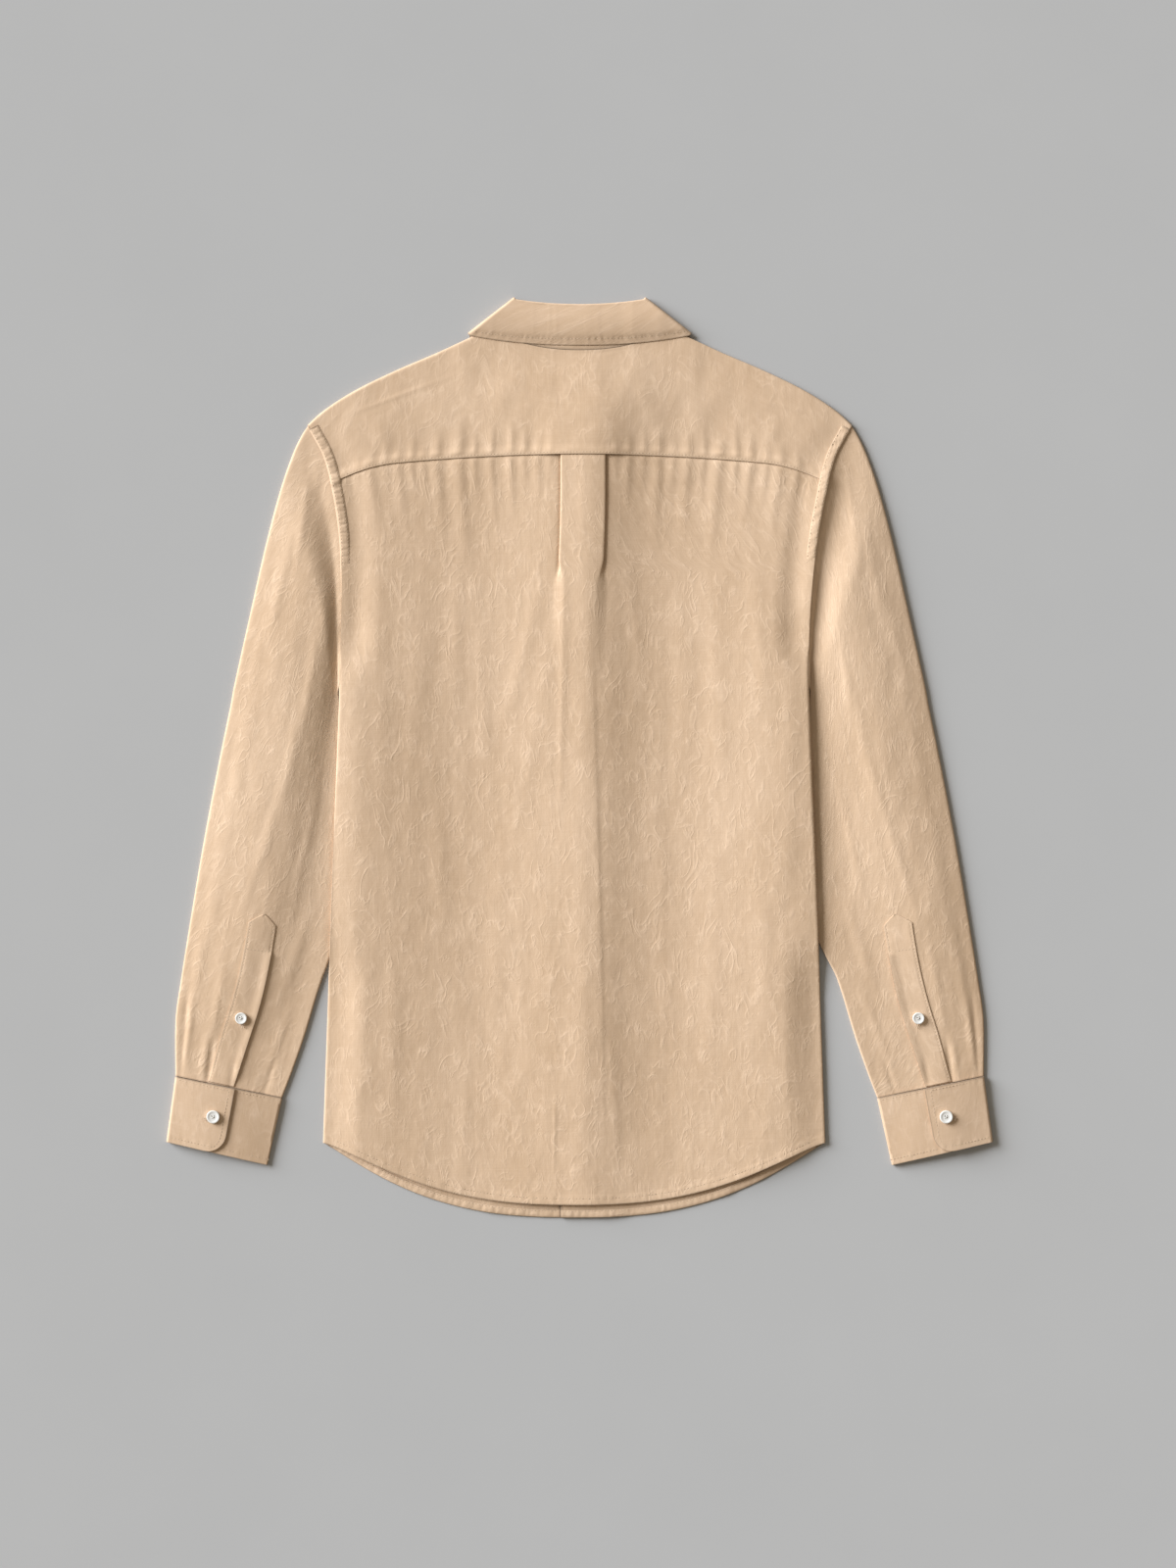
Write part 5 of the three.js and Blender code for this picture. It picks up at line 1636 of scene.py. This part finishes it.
@dataclass(frozen=True)
class Button:
    """A four-hole button: its sizes and how it is turned from a disc."""

    radius: float = 5.7
    thick: float = 2.2
    rim: float = 1.25
    dish: float = 0.3
    hole: float = 0.62
    hole_place: float = 1.15
    round: float = 0.34  # of its edges
    drill: float = 8.0  # length of what cuts a hole
    slope: float = 0.8  # how far the dish's side reaches in
    hollow: tuple[float, float] = (0.9, 0.06)  # a last step in and down, at the holes
    thread_lift: float = 0.12  # how far below the dish the thread is taken to lie

    def turn(self) -> Piece:
        """Models one button at the origin, its face up, and returns it."""
        disc = self._rod(40, self.radius, self.thick, 0, 0)
        bpy.ops.object.mode_set(mode="EDIT")
        bpy.ops.mesh.select_all(action="DESELECT")
        bpy.ops.object.mode_set(mode="OBJECT")
        for face in disc.data.polygons:
            face.select = face.normal.z > 0.9
        bpy.ops.object.mode_set(mode="EDIT")
        bpy.ops.mesh.select_mode(type="FACE")
        for inset, depth in ((self.rim, 0.0), (self.slope, self.dish), self.hollow):
            bpy.ops.mesh.inset(thickness=inset * MM, depth=-depth * MM)
        bpy.ops.object.mode_set(mode="OBJECT")
        bevel = disc.modifiers.new("rim", "BEVEL")
        bevel.width, bevel.segments = self.round * MM, 3
        bevel.limit_method, bevel.angle_limit = "ANGLE", math.radians(20)
        bpy.ops.object.modifier_apply(modifier=bevel.name)
        for quarter in range(4):
            self._bore(disc, math.radians(45 + 90 * quarter))
        bpy.ops.object.select_all(action="DESELECT")
        disc.select_set(True)
        bpy.context.view_layer.objects.active = disc
        bpy.ops.object.transform_apply(location=True, rotation=True, scale=True)
        bpy.ops.object.shade_smooth_by_angle(angle=math.radians(35))
        return disc

    def _rod(self, sides: int, radius: float, length: float, x: float, y: float) -> Piece:
        """Adds an upright rod through the button's middle height."""
        bpy.ops.object.select_all(action="DESELECT")
        place = (x * MM, y * MM, self.thick / 2 * MM)
        bpy.ops.mesh.primitive_cylinder_add(
            vertices=sides, radius=radius * MM, depth=length * MM, location=place
        )
        return bpy.context.object

    def _bore(self, disc: Piece, a: float) -> None:
        """Cuts the hole at an angle through a disc."""
        away = self.hole_place
        drill = self._rod(12, self.hole, self.drill, away * math.cos(a), away * math.sin(a))
        cut = disc.modifiers.new("hole", "BOOLEAN")
        cut.operation, cut.object = "DIFFERENCE", drill
        bpy.context.view_layer.objects.active = disc
        bpy.ops.object.modifier_apply(modifier=cut.name)
        bpy.data.objects.remove(drill)


@dataclass
class Buttons:
    """All the buttons, each a copy of one of two sizes."""

    material: bpy.types.Material
    large: Button = Button()
    small: Button = Button(radius=5.1, rim=1.1)
    front_count: int = 6
    clear: float = 0.25  # from the cloth to a button
    slot: float = 5.5  # length of a buttonhole
    slot_away: float = 3.5  # from the button's middle to where it starts
    slot_under: float = 1.15  # below the middle of the dish
    cuff_slot: tuple[float, float, float] = (-0.97, -0.24, 0)  # its direction on the left
    sleeve_slot: tuple[float, float, float] = (0.2, -0.98, 0)
    placed: list[tuple[str, Array, int, float]] = field(default_factory=list)

    def build(self, cuffs: Sequence[Cuff], plackets: Sequence[SleevePlacket]) -> None:
        """Builds every button where its node says."""
        large, small = self.large.turn(), self.small.turn()
        for cuff in cuffs:
            depth, share = np.meshgrid(np.linspace(0.2, 0.9, 50), np.linspace(0.1, 0.55, 50))
            lies_on = cuff.face(depth, share * cuff.width(depth))
            self._place(f"cuff_button_{cuff.side.word}", large, self.large, 1, 12, lies_on)
        for placket in plackets:
            lies_on = placket.points(np.linspace(-1, 1, 15))[0] + np.array([0, 0, SHELL_HALF])
            node = f"sleeve_button_{placket.sleeve.side.word}"
            self._place(node, small, self.small, 1, 20, lies_on)
        self._place("collar_button", large, self.large, -1, 5)
        for i in range(self.front_count):
            self._place(f"front_button_{i + 1}", large, self.large, -1, 31 * i)
        for master in (large, small):
            bpy.data.objects.remove(master)

    def sew_on(self, ties: Sewing, sewing: Sewing) -> None:
        """Sews each button on through its holes, and each buttonhole that shows beside one."""
        for name, face, facing, turn in self.placed:
            ties.tie(face, facing, turn, self.large.hole_place)
            if facing > 0:
                ahead = np.array(self.cuff_slot if "cuff" in name else self.sleeve_slot)
                ahead[0] *= -1 if "right" in name else 1
                start = face - np.array([0, 0, self.slot_under]) + ahead * self.slot_away
                sewing.buttonhole(start, ahead, self.slot)

    def _place(
        self, node: str, master: Piece, size: Button, facing: int, turn: float, lies_on: Array | None = None
    ) -> None:
        """Places a copy of a button in its node's box.

        Args:
            node: the button's node.
            master: the button at the origin.
            size: its sizes.
            facing: 1 for up, -1 for down.
            turn: degrees by which it is turned about its own axis.
            lies_on: points on the cloth's face where it lies, if that has risen.
        """
        low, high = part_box(node)
        middle = (low + high) / 2
        mesh = master.data.copy()
        flip = Matrix.Rotation(math.pi if facing < 0 else 0, 4, "X")
        base = low.z if facing > 0 else high.z
        if lies_on is not None:
            away = np.hypot(lies_on[..., 0] - middle.x / MM, lies_on[..., 1] - middle.y / MM)
            base = (float(lies_on[away < size.radius * 0.8][:, 2].max()) + self.clear) * MM
        place = Matrix.Translation((middle.x, middle.y, base))
        mesh.transform(place @ flip @ Matrix.Rotation(math.radians(turn), 4, "Z"))
        dress(show(f"{node}_disc", mesh), self.material, "button", node)
        face = (size.thick - size.dish - size.thread_lift) * facing + base / MM
        self.placed.append((node, np.array([middle.x / MM, middle.y / MM, face]), facing, math.radians(turn)))


# ---- Finishes -----------------------------------------------------------------------------------


class Nodes:
    """Short ways to add and link nodes in one tree."""

    def __init__(self, tree: bpy.types.NodeTree) -> None:
        """Keeps the tree."""
        self.tree = tree

    @classmethod
    def of_new(cls, name: str) -> tuple[bpy.types.Material, "Nodes", bpy.types.NodeInputs]:
        """Returns a new material, its nodes and its shader's inputs."""
        material = bpy.data.materials.new(name)
        material.use_nodes = True
        tree = material.node_tree
        return material, cls(tree), tree.nodes["Principled BSDF"].inputs

    def add(self, kind: str, **settings: object) -> bpy.types.Node:
        """Adds a node and sets its properties."""
        node = self.tree.nodes.new(kind)
        for key, value in settings.items():
            setattr(node, key, value)
        return node

    def link(self, source: Socket, target: Socket) -> None:
        """Links two sockets."""
        self.tree.links.new(source, target)

    def ends(
        self, inputs: dict[str, float | None], outputs: Sequence[str]
    ) -> tuple[bpy.types.NodeOutputs, bpy.types.NodeInputs]:
        """Gives a group its named ends.

        Args:
            inputs: a start value for each number, None for a vector.
            outputs: numbers.

        Returns:
            What comes in, and what goes out.
        """
        for name, value in inputs.items():
            kind = "NodeSocketVector" if value is None else "NodeSocketFloat"
            made = self.tree.interface.new_socket(name=name, in_out="INPUT", socket_type=kind)
            if value is not None:
                made.default_value = value
        for name in outputs:
            self.tree.interface.new_socket(name=name, in_out="OUTPUT", socket_type="NodeSocketFloat")
        return self.add("NodeGroupInput").outputs, self.add("NodeGroupOutput").inputs

    def group(self, name: str, build: Callable[["Nodes"], None]) -> bpy.types.Node:
        """Adds a group, which is built the first time."""
        tree = bpy.data.node_groups.get(name)
        if tree is None:
            tree = bpy.data.node_groups.new(name, "ShaderNodeTree")
            build(Nodes(tree))
        return self.add("ShaderNodeGroup", node_tree=tree)

    def math(self, operation: str, a: object, b: object = 0.0, clamp: bool = False) -> Socket:
        """Returns the result of a sum on sockets or numbers."""
        node = self.add("ShaderNodeMath", operation=operation, use_clamp=clamp)
        for k, value in enumerate((a, b)):
            if isinstance(value, Socket):
                self.link(value, node.inputs[k])
            else:
                node.inputs[k].default_value = value
        return node.outputs[0]

    def times(self, a: object, b: object) -> Socket:
        """Returns a product."""
        return self.math("MULTIPLY", a, b)

    def plus(self, a: object, b: object) -> Socket:
        """Returns a sum."""
        return self.math("ADD", a, b)

    def grown(self, vector: Socket, factor: Socket) -> Socket:
        """Returns a vector or a colour times a number."""
        node = self.add("ShaderNodeVectorMath", operation="SCALE")
        self.link(vector, node.inputs[0])
        self.link(factor, node.inputs["Scale"])
        return node.outputs[0]

    def noise(
        self,
        vector: Socket,
        scale: float | Sequence[float],
        detail: float = 2,
        rough: float = 0.5,
        warp: float = 0,
    ) -> Socket:
        """Returns a noise value from 0 to 1; scale is one number, or one for each axis of the cloth."""
        if not isinstance(scale, float):
            node = self.add("ShaderNodeMapping")
            node.inputs["Scale"].default_value = (*scale, 1)
            self.link(vector, node.inputs["Vector"])
            vector, scale = node.outputs[0], 1.0
        node = self.add("ShaderNodeTexNoise")
        for name, value in zip(("Scale", "Detail", "Roughness", "Distortion"), (scale, detail, rough, warp)):
            node.inputs[name].default_value = value
        self.link(vector, node.inputs["Vector"])
        return node.outputs["Fac"]

    def blend(
        self, value: Socket, dark: Colour, light: Colour, places: tuple[float, float] = (0, 1)
    ) -> Socket:
        """Returns a colour that runs from dark to light while the value runs between two places."""
        node = self.add("ShaderNodeValToRGB")
        for element, colour, place in zip(node.color_ramp.elements, (dark, light), places):
            element.position = place
            element.color = (*colour, 1)
        self.link(value, node.inputs[0])
        return node.outputs[0]

    def bump(self, height: Socket, strength: float, distance: float, base: Socket | None = None) -> Socket:
        """Returns a surface bumped by a height, on top of another bump."""
        node = self.add("ShaderNodeBump")
        node.inputs["Strength"].default_value = strength
        node.inputs["Distance"].default_value = distance
        self.link(height, node.inputs["Height"])
        if base:
            self.link(base, node.inputs["Normal"])
        return node.outputs[0]


def build_threads(n: Nodes) -> None:
    """Builds the plain weave: uneven threads both ways, with slubs, as a height and a tone."""
    into, out = n.ends({"Vector": None, "Threads": 1500.0, "Slub": 1.0}, ("Height", "Tone"))
    vector = into["Vector"]
    parts = n.add("ShaderNodeSeparateXYZ")
    wander = n.noise(vector, (260, 60))
    n.link(vector, parts.inputs[0])
    waves = []
    for axis in ("X", "Y"):
        turns = n.times(parts.outputs[axis], into["Threads"])
        bent = n.plus(n.times(turns, 2 * math.pi), n.times(wander, 5.0))
        waves.append(n.plus(n.times(n.math("SINE", bent), 0.5), 0.5))
    crossed = n.math("MAXIMUM", *waves)
    warp, weft = (n.noise(vector, scale, 3, 0.6) for scale in ((1500, 26), (22, 1300)))
    slubs = n.plus(n.times(warp, 0.62), n.times(weft, 0.38))
    raised = n.times(slubs, into["Slub"])
    n.link(n.plus(n.times(crossed, 0.4), raised), out["Height"])
    n.link(slubs, out["Tone"])


def build_crinkle(n: Nodes) -> None:
    """Builds the small curved creases of washed linen, thin crests that come and go, as a height, and the
    crests as a mask for a painted highlight.
    """
    into, out = n.ends({"Vector": None, "Scale": 1.0}, ("Height", "Crest"))
    vector = n.grown(into["Vector"], into["Scale"])
    total = n.times(n.noise(vector, (150, 90), 3, 0.55), 1.3)
    crests = 0.0
    for scale, stretch, warp, thin, share in ((62, 0.55, 1.3, 10.0, 1.0), (110, 0.6, 1.5, 7.0, 0.7)):
        wave = n.noise(vector, (scale, scale * stretch), 1, 0.5, warp)
        crest = n.math("ABSOLUTE", n.math("SUBTRACT", wave, 0.5))
        soft = n.math("SUBTRACT", 1.0, n.times(crest, thin), clamp=True)
        place = n.noise(vector, (scale * 0.9, scale * 0.7), 0, 0.5, 0.4)
        shown = n.math("MULTIPLY", n.math("SUBTRACT", place, 0.44), 5.0, clamp=True)
        crests = n.plus(crests, n.times(n.times(n.times(soft, soft), shown), share))
    n.link(n.plus(total, n.times(crests, 0.8)), out["Height"])
    n.link(crests, out["Crest"])


@dataclass(frozen=True)
class Linen:
    """Washed linen: its colours, and how strongly weave and crinkles show."""

    name: str
    light: Colour = (0.775, 0.563, 0.385)
    dark: Colour = (0.60, 0.412, 0.256)
    crinkle: float = 0.8
    crinkle_depth: float = 0.00016
    thread_tone: float = 0.42
    patch_tone: float = 0.38
    streak_tone: float = 0.2
    # painted highlight: how much lighter the colour is on the crinkles' crests
    crest_highlight_tone: float = 0.11
    tones: tuple[float, float] = (0.36, 0.68)  # where the colour is at its darkest and lightest
    weave: float = 0.16
    weave_depth: float = 0.00025
    painted_rim_shade: float = 0.4  # painted shade: folds and edges are darkened in the colour
    rough: float = 0.86
    sheen: tuple[float, float] = (0.12, 0.6)  # its strength and its roughness
    shine: float = 0.25

    def make(self) -> bpy.types.Material:
        """Builds the material."""
        material, n, shader = Nodes.of_new(self.name)
        place = n.add("ShaderNodeUVMap", uv_map="cloth").outputs[0]
        threads = n.group("Linen threads", build_threads)
        creases = n.group("Washed crinkle", build_crinkle)
        for group in (threads, creases):
            n.link(place, group.inputs["Vector"])
        patches = n.noise(place, (11, 6), 3, 0.55)
        streaks = n.noise(place, (170, 60), 3, 0.6)
        tone = n.times(threads.outputs["Tone"], self.thread_tone)
        # the crinkles' crests get a painted highlight in the colour
        crests = (self.crest_highlight_tone, creases.outputs["Crest"])
        for share, part in ((self.patch_tone, patches), (self.streak_tone, streaks), crests):
            tone = n.plus(tone, n.times(part, share))
        colour = n.blend(tone, self.dark, self.light, self.tones)
        # painted shade: the colour is darkened along edges and steep folds, by the rim attribute
        rim = n.add("ShaderNodeAttribute", attribute_name="rim").outputs["Fac"]
        shade = n.math("SUBTRACT", 1.0, n.times(rim, self.painted_rim_shade))
        n.link(n.grown(colour, shade), shader["Base Color"])
        n.link(n.plus(n.times(threads.outputs["Tone"], 0.12), self.rough - 0.06), shader["Roughness"])
        soft = n.bump(creases.outputs["Height"], self.crinkle, self.crinkle_depth)
        fine = n.bump(threads.outputs["Height"], self.weave, self.weave_depth, soft)
        n.link(fine, shader["Normal"])
        shader["Sheen Weight"].default_value, shader["Sheen Roughness"].default_value = self.sheen
        shader["Specular IOR Level"].default_value = self.shine
        return material


@dataclass(frozen=True)
class Thread:
    """Sewing thread, twisted and a little glossier than the cloth."""

    name: str = "Sewing thread"
    colour: Colour = (0.60, 0.45, 0.31)
    tones: tuple[float, float] = (0.84, 1.1)  # shares of the colour between which it varies
    twist: tuple[float, float] = (0.3, 0.0001)  # strength and depth of its bumps
    rough: float = 0.6

    def make(self) -> bpy.types.Material:
        """Builds the material."""
        material, n, shader = Nodes.of_new(self.name)
        twist = n.noise(n.add("ShaderNodeTexCoord").outputs["Object"], 2600.0)
        dark, light = ([c * scale for c in self.colour] for scale in self.tones)
        n.link(n.blend(twist, dark, light), shader["Base Color"])
        n.link(n.bump(twist, *self.twist), shader["Normal"])
        shader["Roughness"].default_value = self.rough
        return material


@dataclass(frozen=True)
class Resin:
    """Milky button resin with faint clouds."""

    name: str = "Button resin"
    light: Colour = (0.90, 0.885, 0.84)
    dark: Colour = (0.78, 0.755, 0.70)
    rough: tuple[float, float] = (0.18, 0.2)  # what the clouds add, and to what
    coat: float = 0.3

    def make(self) -> bpy.types.Material:
        """Builds the material."""
        material, n, shader = Nodes.of_new(self.name)
        clouds = n.noise(n.add("ShaderNodeTexCoord").outputs["Object"], 420.0, 4, 0.6, 1.2)
        n.link(n.blend(clouds, self.dark, self.light), shader["Base Color"])
        n.link(n.plus(n.times(clouds, self.rough[0]), self.rough[1]), shader["Roughness"])
        shader["Coat Weight"].default_value = self.coat
        return material


@dataclass(frozen=True)
class Paper:
    """The floor's pale matt paper."""

    name: str = "Grey paper"
    dark: Colour = (0.468, 0.466, 0.459)
    light: Colour = (0.500, 0.497, 0.489)
    rough: float = 0.9

    def make(self) -> bpy.types.Material:
        """Builds the material."""
        material, n, shader = Nodes.of_new(self.name)
        mottle = n.noise(n.add("ShaderNodeTexCoord").outputs["Object"], 5.0, 4, 0.6)
        n.link(n.blend(mottle, self.dark, self.light), shader["Base Color"])
        shader["Roughness"].default_value = self.rough
        return material


# ---- Studio -------------------------------------------------------------------------------------


@dataclass
class Studio:
    """A plain pale floor, soft light from the upper left, and the camera straight above."""

    floor_size: float = 80.0
    lens: float = 85.0
    sensor: float = 36.0
    view_height: float = 1.376  # metres of the floor from the view's lower to its upper edge
    aim: tuple[float, float] = (0.0073, -0.0232)
    key: float = 7.55
    key_colour: Colour = (0.96, 1.0, 1.065)
    key_from: tuple[float, float, float] = (-3.0, 1.5, 1.06)
    key_angle: float = 38.0  # degrees that the key light spans
    sky: float = 0.275
    sky_colour: Colour = (1.0, 0.905, 0.76)

    def floor(self, material: bpy.types.Material) -> None:
        """Lays the floor."""
        bpy.ops.object.select_all(action="DESELECT")
        bpy.ops.mesh.primitive_plane_add(size=self.floor_size, location=(0, 0, 0))
        floor = bpy.context.object
        floor.name = "studio_floor"
        floor.data.materials.append(material)

    def light(self) -> None:
        """Sets the broad key light and the even light of the room."""
        data = bpy.data.lights.new("key_light", "SUN")
        data.energy, data.angle = self.key, math.radians(self.key_angle)
        data.color = self.key_colour
        lamp = show("key_light", data)
        lamp.location = self.key_from
        lamp.rotation_euler = (-Vector(self.key_from)).to_track_quat("-Z", "Y").to_euler()
        world = bpy.data.worlds.new("Room")
        world.use_nodes = True
        room = world.node_tree.nodes["Background"].inputs
        room[0].default_value, room[1].default_value = (*self.sky_colour, 1), self.sky
        bpy.context.scene.world = world

    def camera(self) -> None:
        """Places the camera, and shows colours as they are, without a film look."""
        bpy.context.scene.view_settings.view_transform = "Standard"
        data = bpy.data.cameras.new("camera")
        data.lens, data.sensor_fit, data.sensor_height = self.lens, "VERTICAL", self.sensor
        camera = show("camera", data)
        camera.location = (*self.aim, self.view_height * self.lens / self.sensor)
        bpy.context.scene.camera = camera


# ---- The shirt ----------------------------------------------------------------------------------


@dataclass(frozen=True)
class SeamFold:
    """A soft ridge that starts at the yoke's seam: how far it runs down the back and up the yoke."""

    x: float
    down: float
    up: float
    width: float
    height: float

    def below(self) -> Crease:
        """Returns its part on the back."""
        seam = float(CUT.yoke_seam(np.array(self.x)))
        return Crease(self.x, seam, 2.2 * self.down, self.width, 1.6 * self.height, self.x / 24, 0, 0.3)

    def above(self) -> Crease:
        """Returns its part on the yoke."""
        seam = float(CUT.yoke_seam(np.array(self.x)))
        size = (2.2 * self.up, self.width * 0.85, 1.9 * self.height)
        return Crease(self.x + 1.0, seam, *size, -self.x / 40, 0, 0.3)


SEAM_FOLDS = [
    SeamFold(*row)  # x, down, up, width, height
    for row in (
        (-206, 34, 10, 3.2, 0.28), (-196, 20, 14, 2.6, 0.18), (-184, 55, 16, 5.0, 0.32),
        (-171, 26, 20, 3.4, 0.22), (-160, 62, 12, 4.2, 0.32), (-148, 32, 22, 3.4, 0.30),
        (-138, 44, 14, 3.4, 0.24), (-126, 78, 26, 5.2, 0.38), (-107, 98, 34, 6.4, 0.55),
        (-93, 40, 22, 2.8, 0.30), (-78, 62, 27, 3.4, 0.36), (-61, 54, 30, 3.6, 0.36),
        (-49, 30, 24, 3.0, 0.27), (-37, 44, 16, 3.4, 0.28), (-26, 24, 12, 2.6, 0.20), (31, 26, 14, 3.0, 0.24),
        (43, 52, 18, 3.8, 0.32), (56, 30, 26, 3.0, 0.26), (69, 86, 24, 5.0, 0.40), (82, 36, 18, 3.2, 0.28),
        (95, 66, 22, 4.4, 0.34), (109, 40, 30, 3.4, 0.32), (122, 92, 18, 6.0, 0.50), (137, 34, 34, 3.4, 0.32),
        (150, 58, 26, 4.4, 0.38), (164, 36, 16, 3.2, 0.26), (176, 72, 20, 5.2, 0.38),
        (191, 30, 14, 3.0, 0.26), (204, 44, 12, 4.0, 0.30),
    )
]

BACK_CREASES = [
    Crease(*row)  # x, y, length, width, height, turn, bow, lean
    for row in (
        (-15, 62, 250, 3.4, 0.42, 1), (13, -95, 600, 4.2, 0.34, -1.5, 3, 0.7), (2.5, 205, 150, 1.5, 0.16, 0),
        (-112, 110, 210, 8, 0.42, 2, 4), (-84, 70, 260, 10, 0.4, -3, -5), (-52, 96, 170, 6, 0.4, 14, 4),
        (-40, 20, 190, 7, 0.3, 9), (-148, 60, 240, 9, 0.34, 3, 6), (-174, 20, 300, 8, 0.3, -1),
        (48, 120, 150, 6, 0.3, -8), (86, 80, 240, 9, 0.34, -3, 5), (126, 60, 260, 10, 0.38, -2, -5),
        (158, 100, 200, 7, 0.34, -5), (184, 0, 260, 6, 0.26, 1), (-128, -90, 220, 8, 0.26, -3, 6),
        (-66, -150, 260, 9, 0.28, 2, -5), (66, -130, 280, 9, 0.28, -2, 6), (112, -190, 240, 8, 0.28, 3, 5),
        (160, -170, 220, 8, 0.26, -2), (-160, -230, 200, 8, 0.26, 2, -4), (-22, -330, 96, 1.7, 0.2, 1),
        (30, -300, 120, 5, 0.24, -4), (-100, -310, 110, 6, 0.24, 5),
    )
]

YOKE_CREASES = [
    Crease(*row)  # x, y, length, width, height, turn, bow, lean
    for row in (
        (-155, 318.5, 118, 1.7, 0.26, 69.5), (176, 308.5, 64, 1.7, 0.26, 105), (-120, 300, 60, 9, 0.3, -30),
        (-64, 322, 70, 8, 0.28, 20), (58, 318, 64, 8, 0.26, -16), (112, 306, 70, 9, 0.3, 26),
        (-176, 286, 50, 7, 0.3, -20), (168, 284, 44, 7, 0.3, 18),
    )
]

SLEEVE_CREASES = [
    Crease(*row)  # x, y, length, width, height, turn, bow, lean
    for row in (
        (262, 150, 150, 5, 0.5, -12), (243, 205, 110, 4.2, 0.55, -8), (281, 95, 130, 5, 0.34, -13),
        (254, -5, 150, 5.5, 0.55, -11), (237, 62, 120, 4, 0.42, -7), (296, 0, 170, 7, 0.4, -12),
        (271, -60, 110, 4.2, 0.42, -14), (241, -80, 120, 4, 0.42, -12), (318, -112, 150, 6, 0.36, -10),
        (287, -108, 90, 4, 0.3, -16), (249, -172, 120, 5, 0.42, -18), (336, -192, 110, 5, 0.42, -8),
        (318, -218, 100, 4, 0.4, -10), (262, -242, 80, 4, 0.36, -20), (229, 258, 70, 4, 0.5, -4),
    )
]

CUFF_PLEATS = [
    Crease(*row)  # x, y, length, width, height, turn, bow, lean
    for row in (
        (348, -246, 96, 2.4, -1.1, -6), (342.5, -240, 84, 3.2, 0.6, -7), (324, -268, 52, 2.2, -0.9, -8),
        (329, -262, 54, 3.0, 0.5, -8), (304, -276, 34, 2.0, -0.45, -12), (272, -280, 40, 2.2, -0.5, -18),
    )
]


BODY_LOW, BODY_HIGH = (-260, -420), (260, 420)


def body_relief() -> Relief:
    """Returns the creases of the back."""
    relief = Relief(BODY_LOW, BODY_HIGH)
    relief.add(*[fold.below() for fold in SEAM_FOLDS], *BACK_CREASES)
    share = Curve((-390, 1.1), (-100, 1.0), (80, 0.75), (270, 0.6))
    return relief.crinkle(3, (8, 17), 0.035, share=share).crinkle(5, (6, 11), 0.045, True, share)


def yoke_relief() -> Relief:
    """Returns the creases of the yoke."""
    relief = Relief((BODY_LOW[0], 200), BODY_HIGH)
    relief.add(*[fold.above() for fold in SEAM_FOLDS], *YOKE_CREASES)
    return relief.crinkle(9, (9, 12), 0.05).crinkle(11, (6, 8), 0.04, ridged=True)


def under_relief(shift: float = 14, share: float = 0.9) -> Relief:
    """Returns the creases of the fronts: the back's, mirrored, moved up and a little lower."""
    under = Relief(BODY_LOW, BODY_HIGH).crinkle(13, (10, 17), 0.1)
    for c in BACK_CREASES:
        under.add(Crease(-c.x, c.y + shift, c.length, c.width, share * c.height, -c.turn))
    return under


def sleeve_relief(side: Side, seed: int, upper: bool) -> Relief:
    """Returns the creases of one layer of a sleeve.

    Args:
        side: which sleeve.
        seed: for its small waves.
        upper: the layer that shows, which has the cuff's pleats too.
    """
    sign = side.value
    low, high = ((-380, -380), (-180, 310)) if side is Side.LEFT else ((180, -380), (380, 310))
    relief = Relief(low, high)
    drift = 0 if side is Side.LEFT else 9
    for c in SLEEVE_CREASES:
        size = (c.length + drift, c.width, c.height if upper else 0.7 * c.height)
        relief.add(Crease(sign * (c.x - drift * 0.4), c.y + drift, *size, sign * c.turn))
    for c in CUFF_PLEATS if upper else ():
        relief.add(Crease(sign * c.x, c.y, c.length, c.width, c.height, sign * c.turn))
    return relief.crinkle(seed, (8, 18), 0.055).crinkle(seed + 1, (6, 11), 0.055, ridged=True)


def new_sleeve(side: Side, material: bpy.types.Material) -> Sleeve:
    """Returns a sleeve with its creases."""
    upper = sleeve_relief(side, 20 + side.value, True)
    return Sleeve(side, upper, sleeve_relief(side, 30 + side.value, False), material)


def main() -> None:
    """Builds the shirt's pieces in order, then the studio."""
    logging.basicConfig(level=logging.INFO, format="%(message)s")
    washed = Linen("Washed linen").make()
    pressed = Linen("Pressed linen", crinkle=0.45).make()
    lined = Linen("Interlined linen", crinkle=0.35, light=(0.73, 0.53, 0.365)).make()
    body = Body(body_relief(), yoke_relief(), under_relief())
    sewing, ties = Sewing("seam_stitches"), Sewing("button_stitches")
    yoke = Yoke(body, pressed)
    hems = Hems(body, washed).build(sewing)
    fells = [ArmholeFell(yoke, side, pressed).build(sewing) for side in Side]
    Back(body, washed).build([hems["back"], *fells])
    yoke.build()
    sewing.run(yoke.edge_line(1.8))
    sleeves = [new_sleeve(side, washed) for side in Side]
    for sleeve in sleeves:
        Front(body, sleeve.side, washed).build([hems[f"front_{sleeve.side.word}"]])
        sleeve.build()
    FrontPlacket(pressed).build(sewing)
    plackets = [SleevePlacket(sleeve, pressed) for sleeve in sleeves]
    for placket in plackets:
        placket.build(sewing)
    cuffs = [Cuff(side, lined) for side in Side]
    for cuff in cuffs:
        cuff.build()
        cuff.sew(sewing)
    Collar(body, lined).build(sewing)
    buttons = Buttons(Resin().make())
    buttons.build(cuffs, plackets)
    buttons.sew_on(ties, sewing)
    sewing.build(Thread().make())
    ties.build(Thread("Button thread", (0.80, 0.77, 0.70)).make())
    studio = Studio()
    studio.floor(Paper().make())
    studio.light()
    studio.camera()


if __name__ == "__main__":
    main()
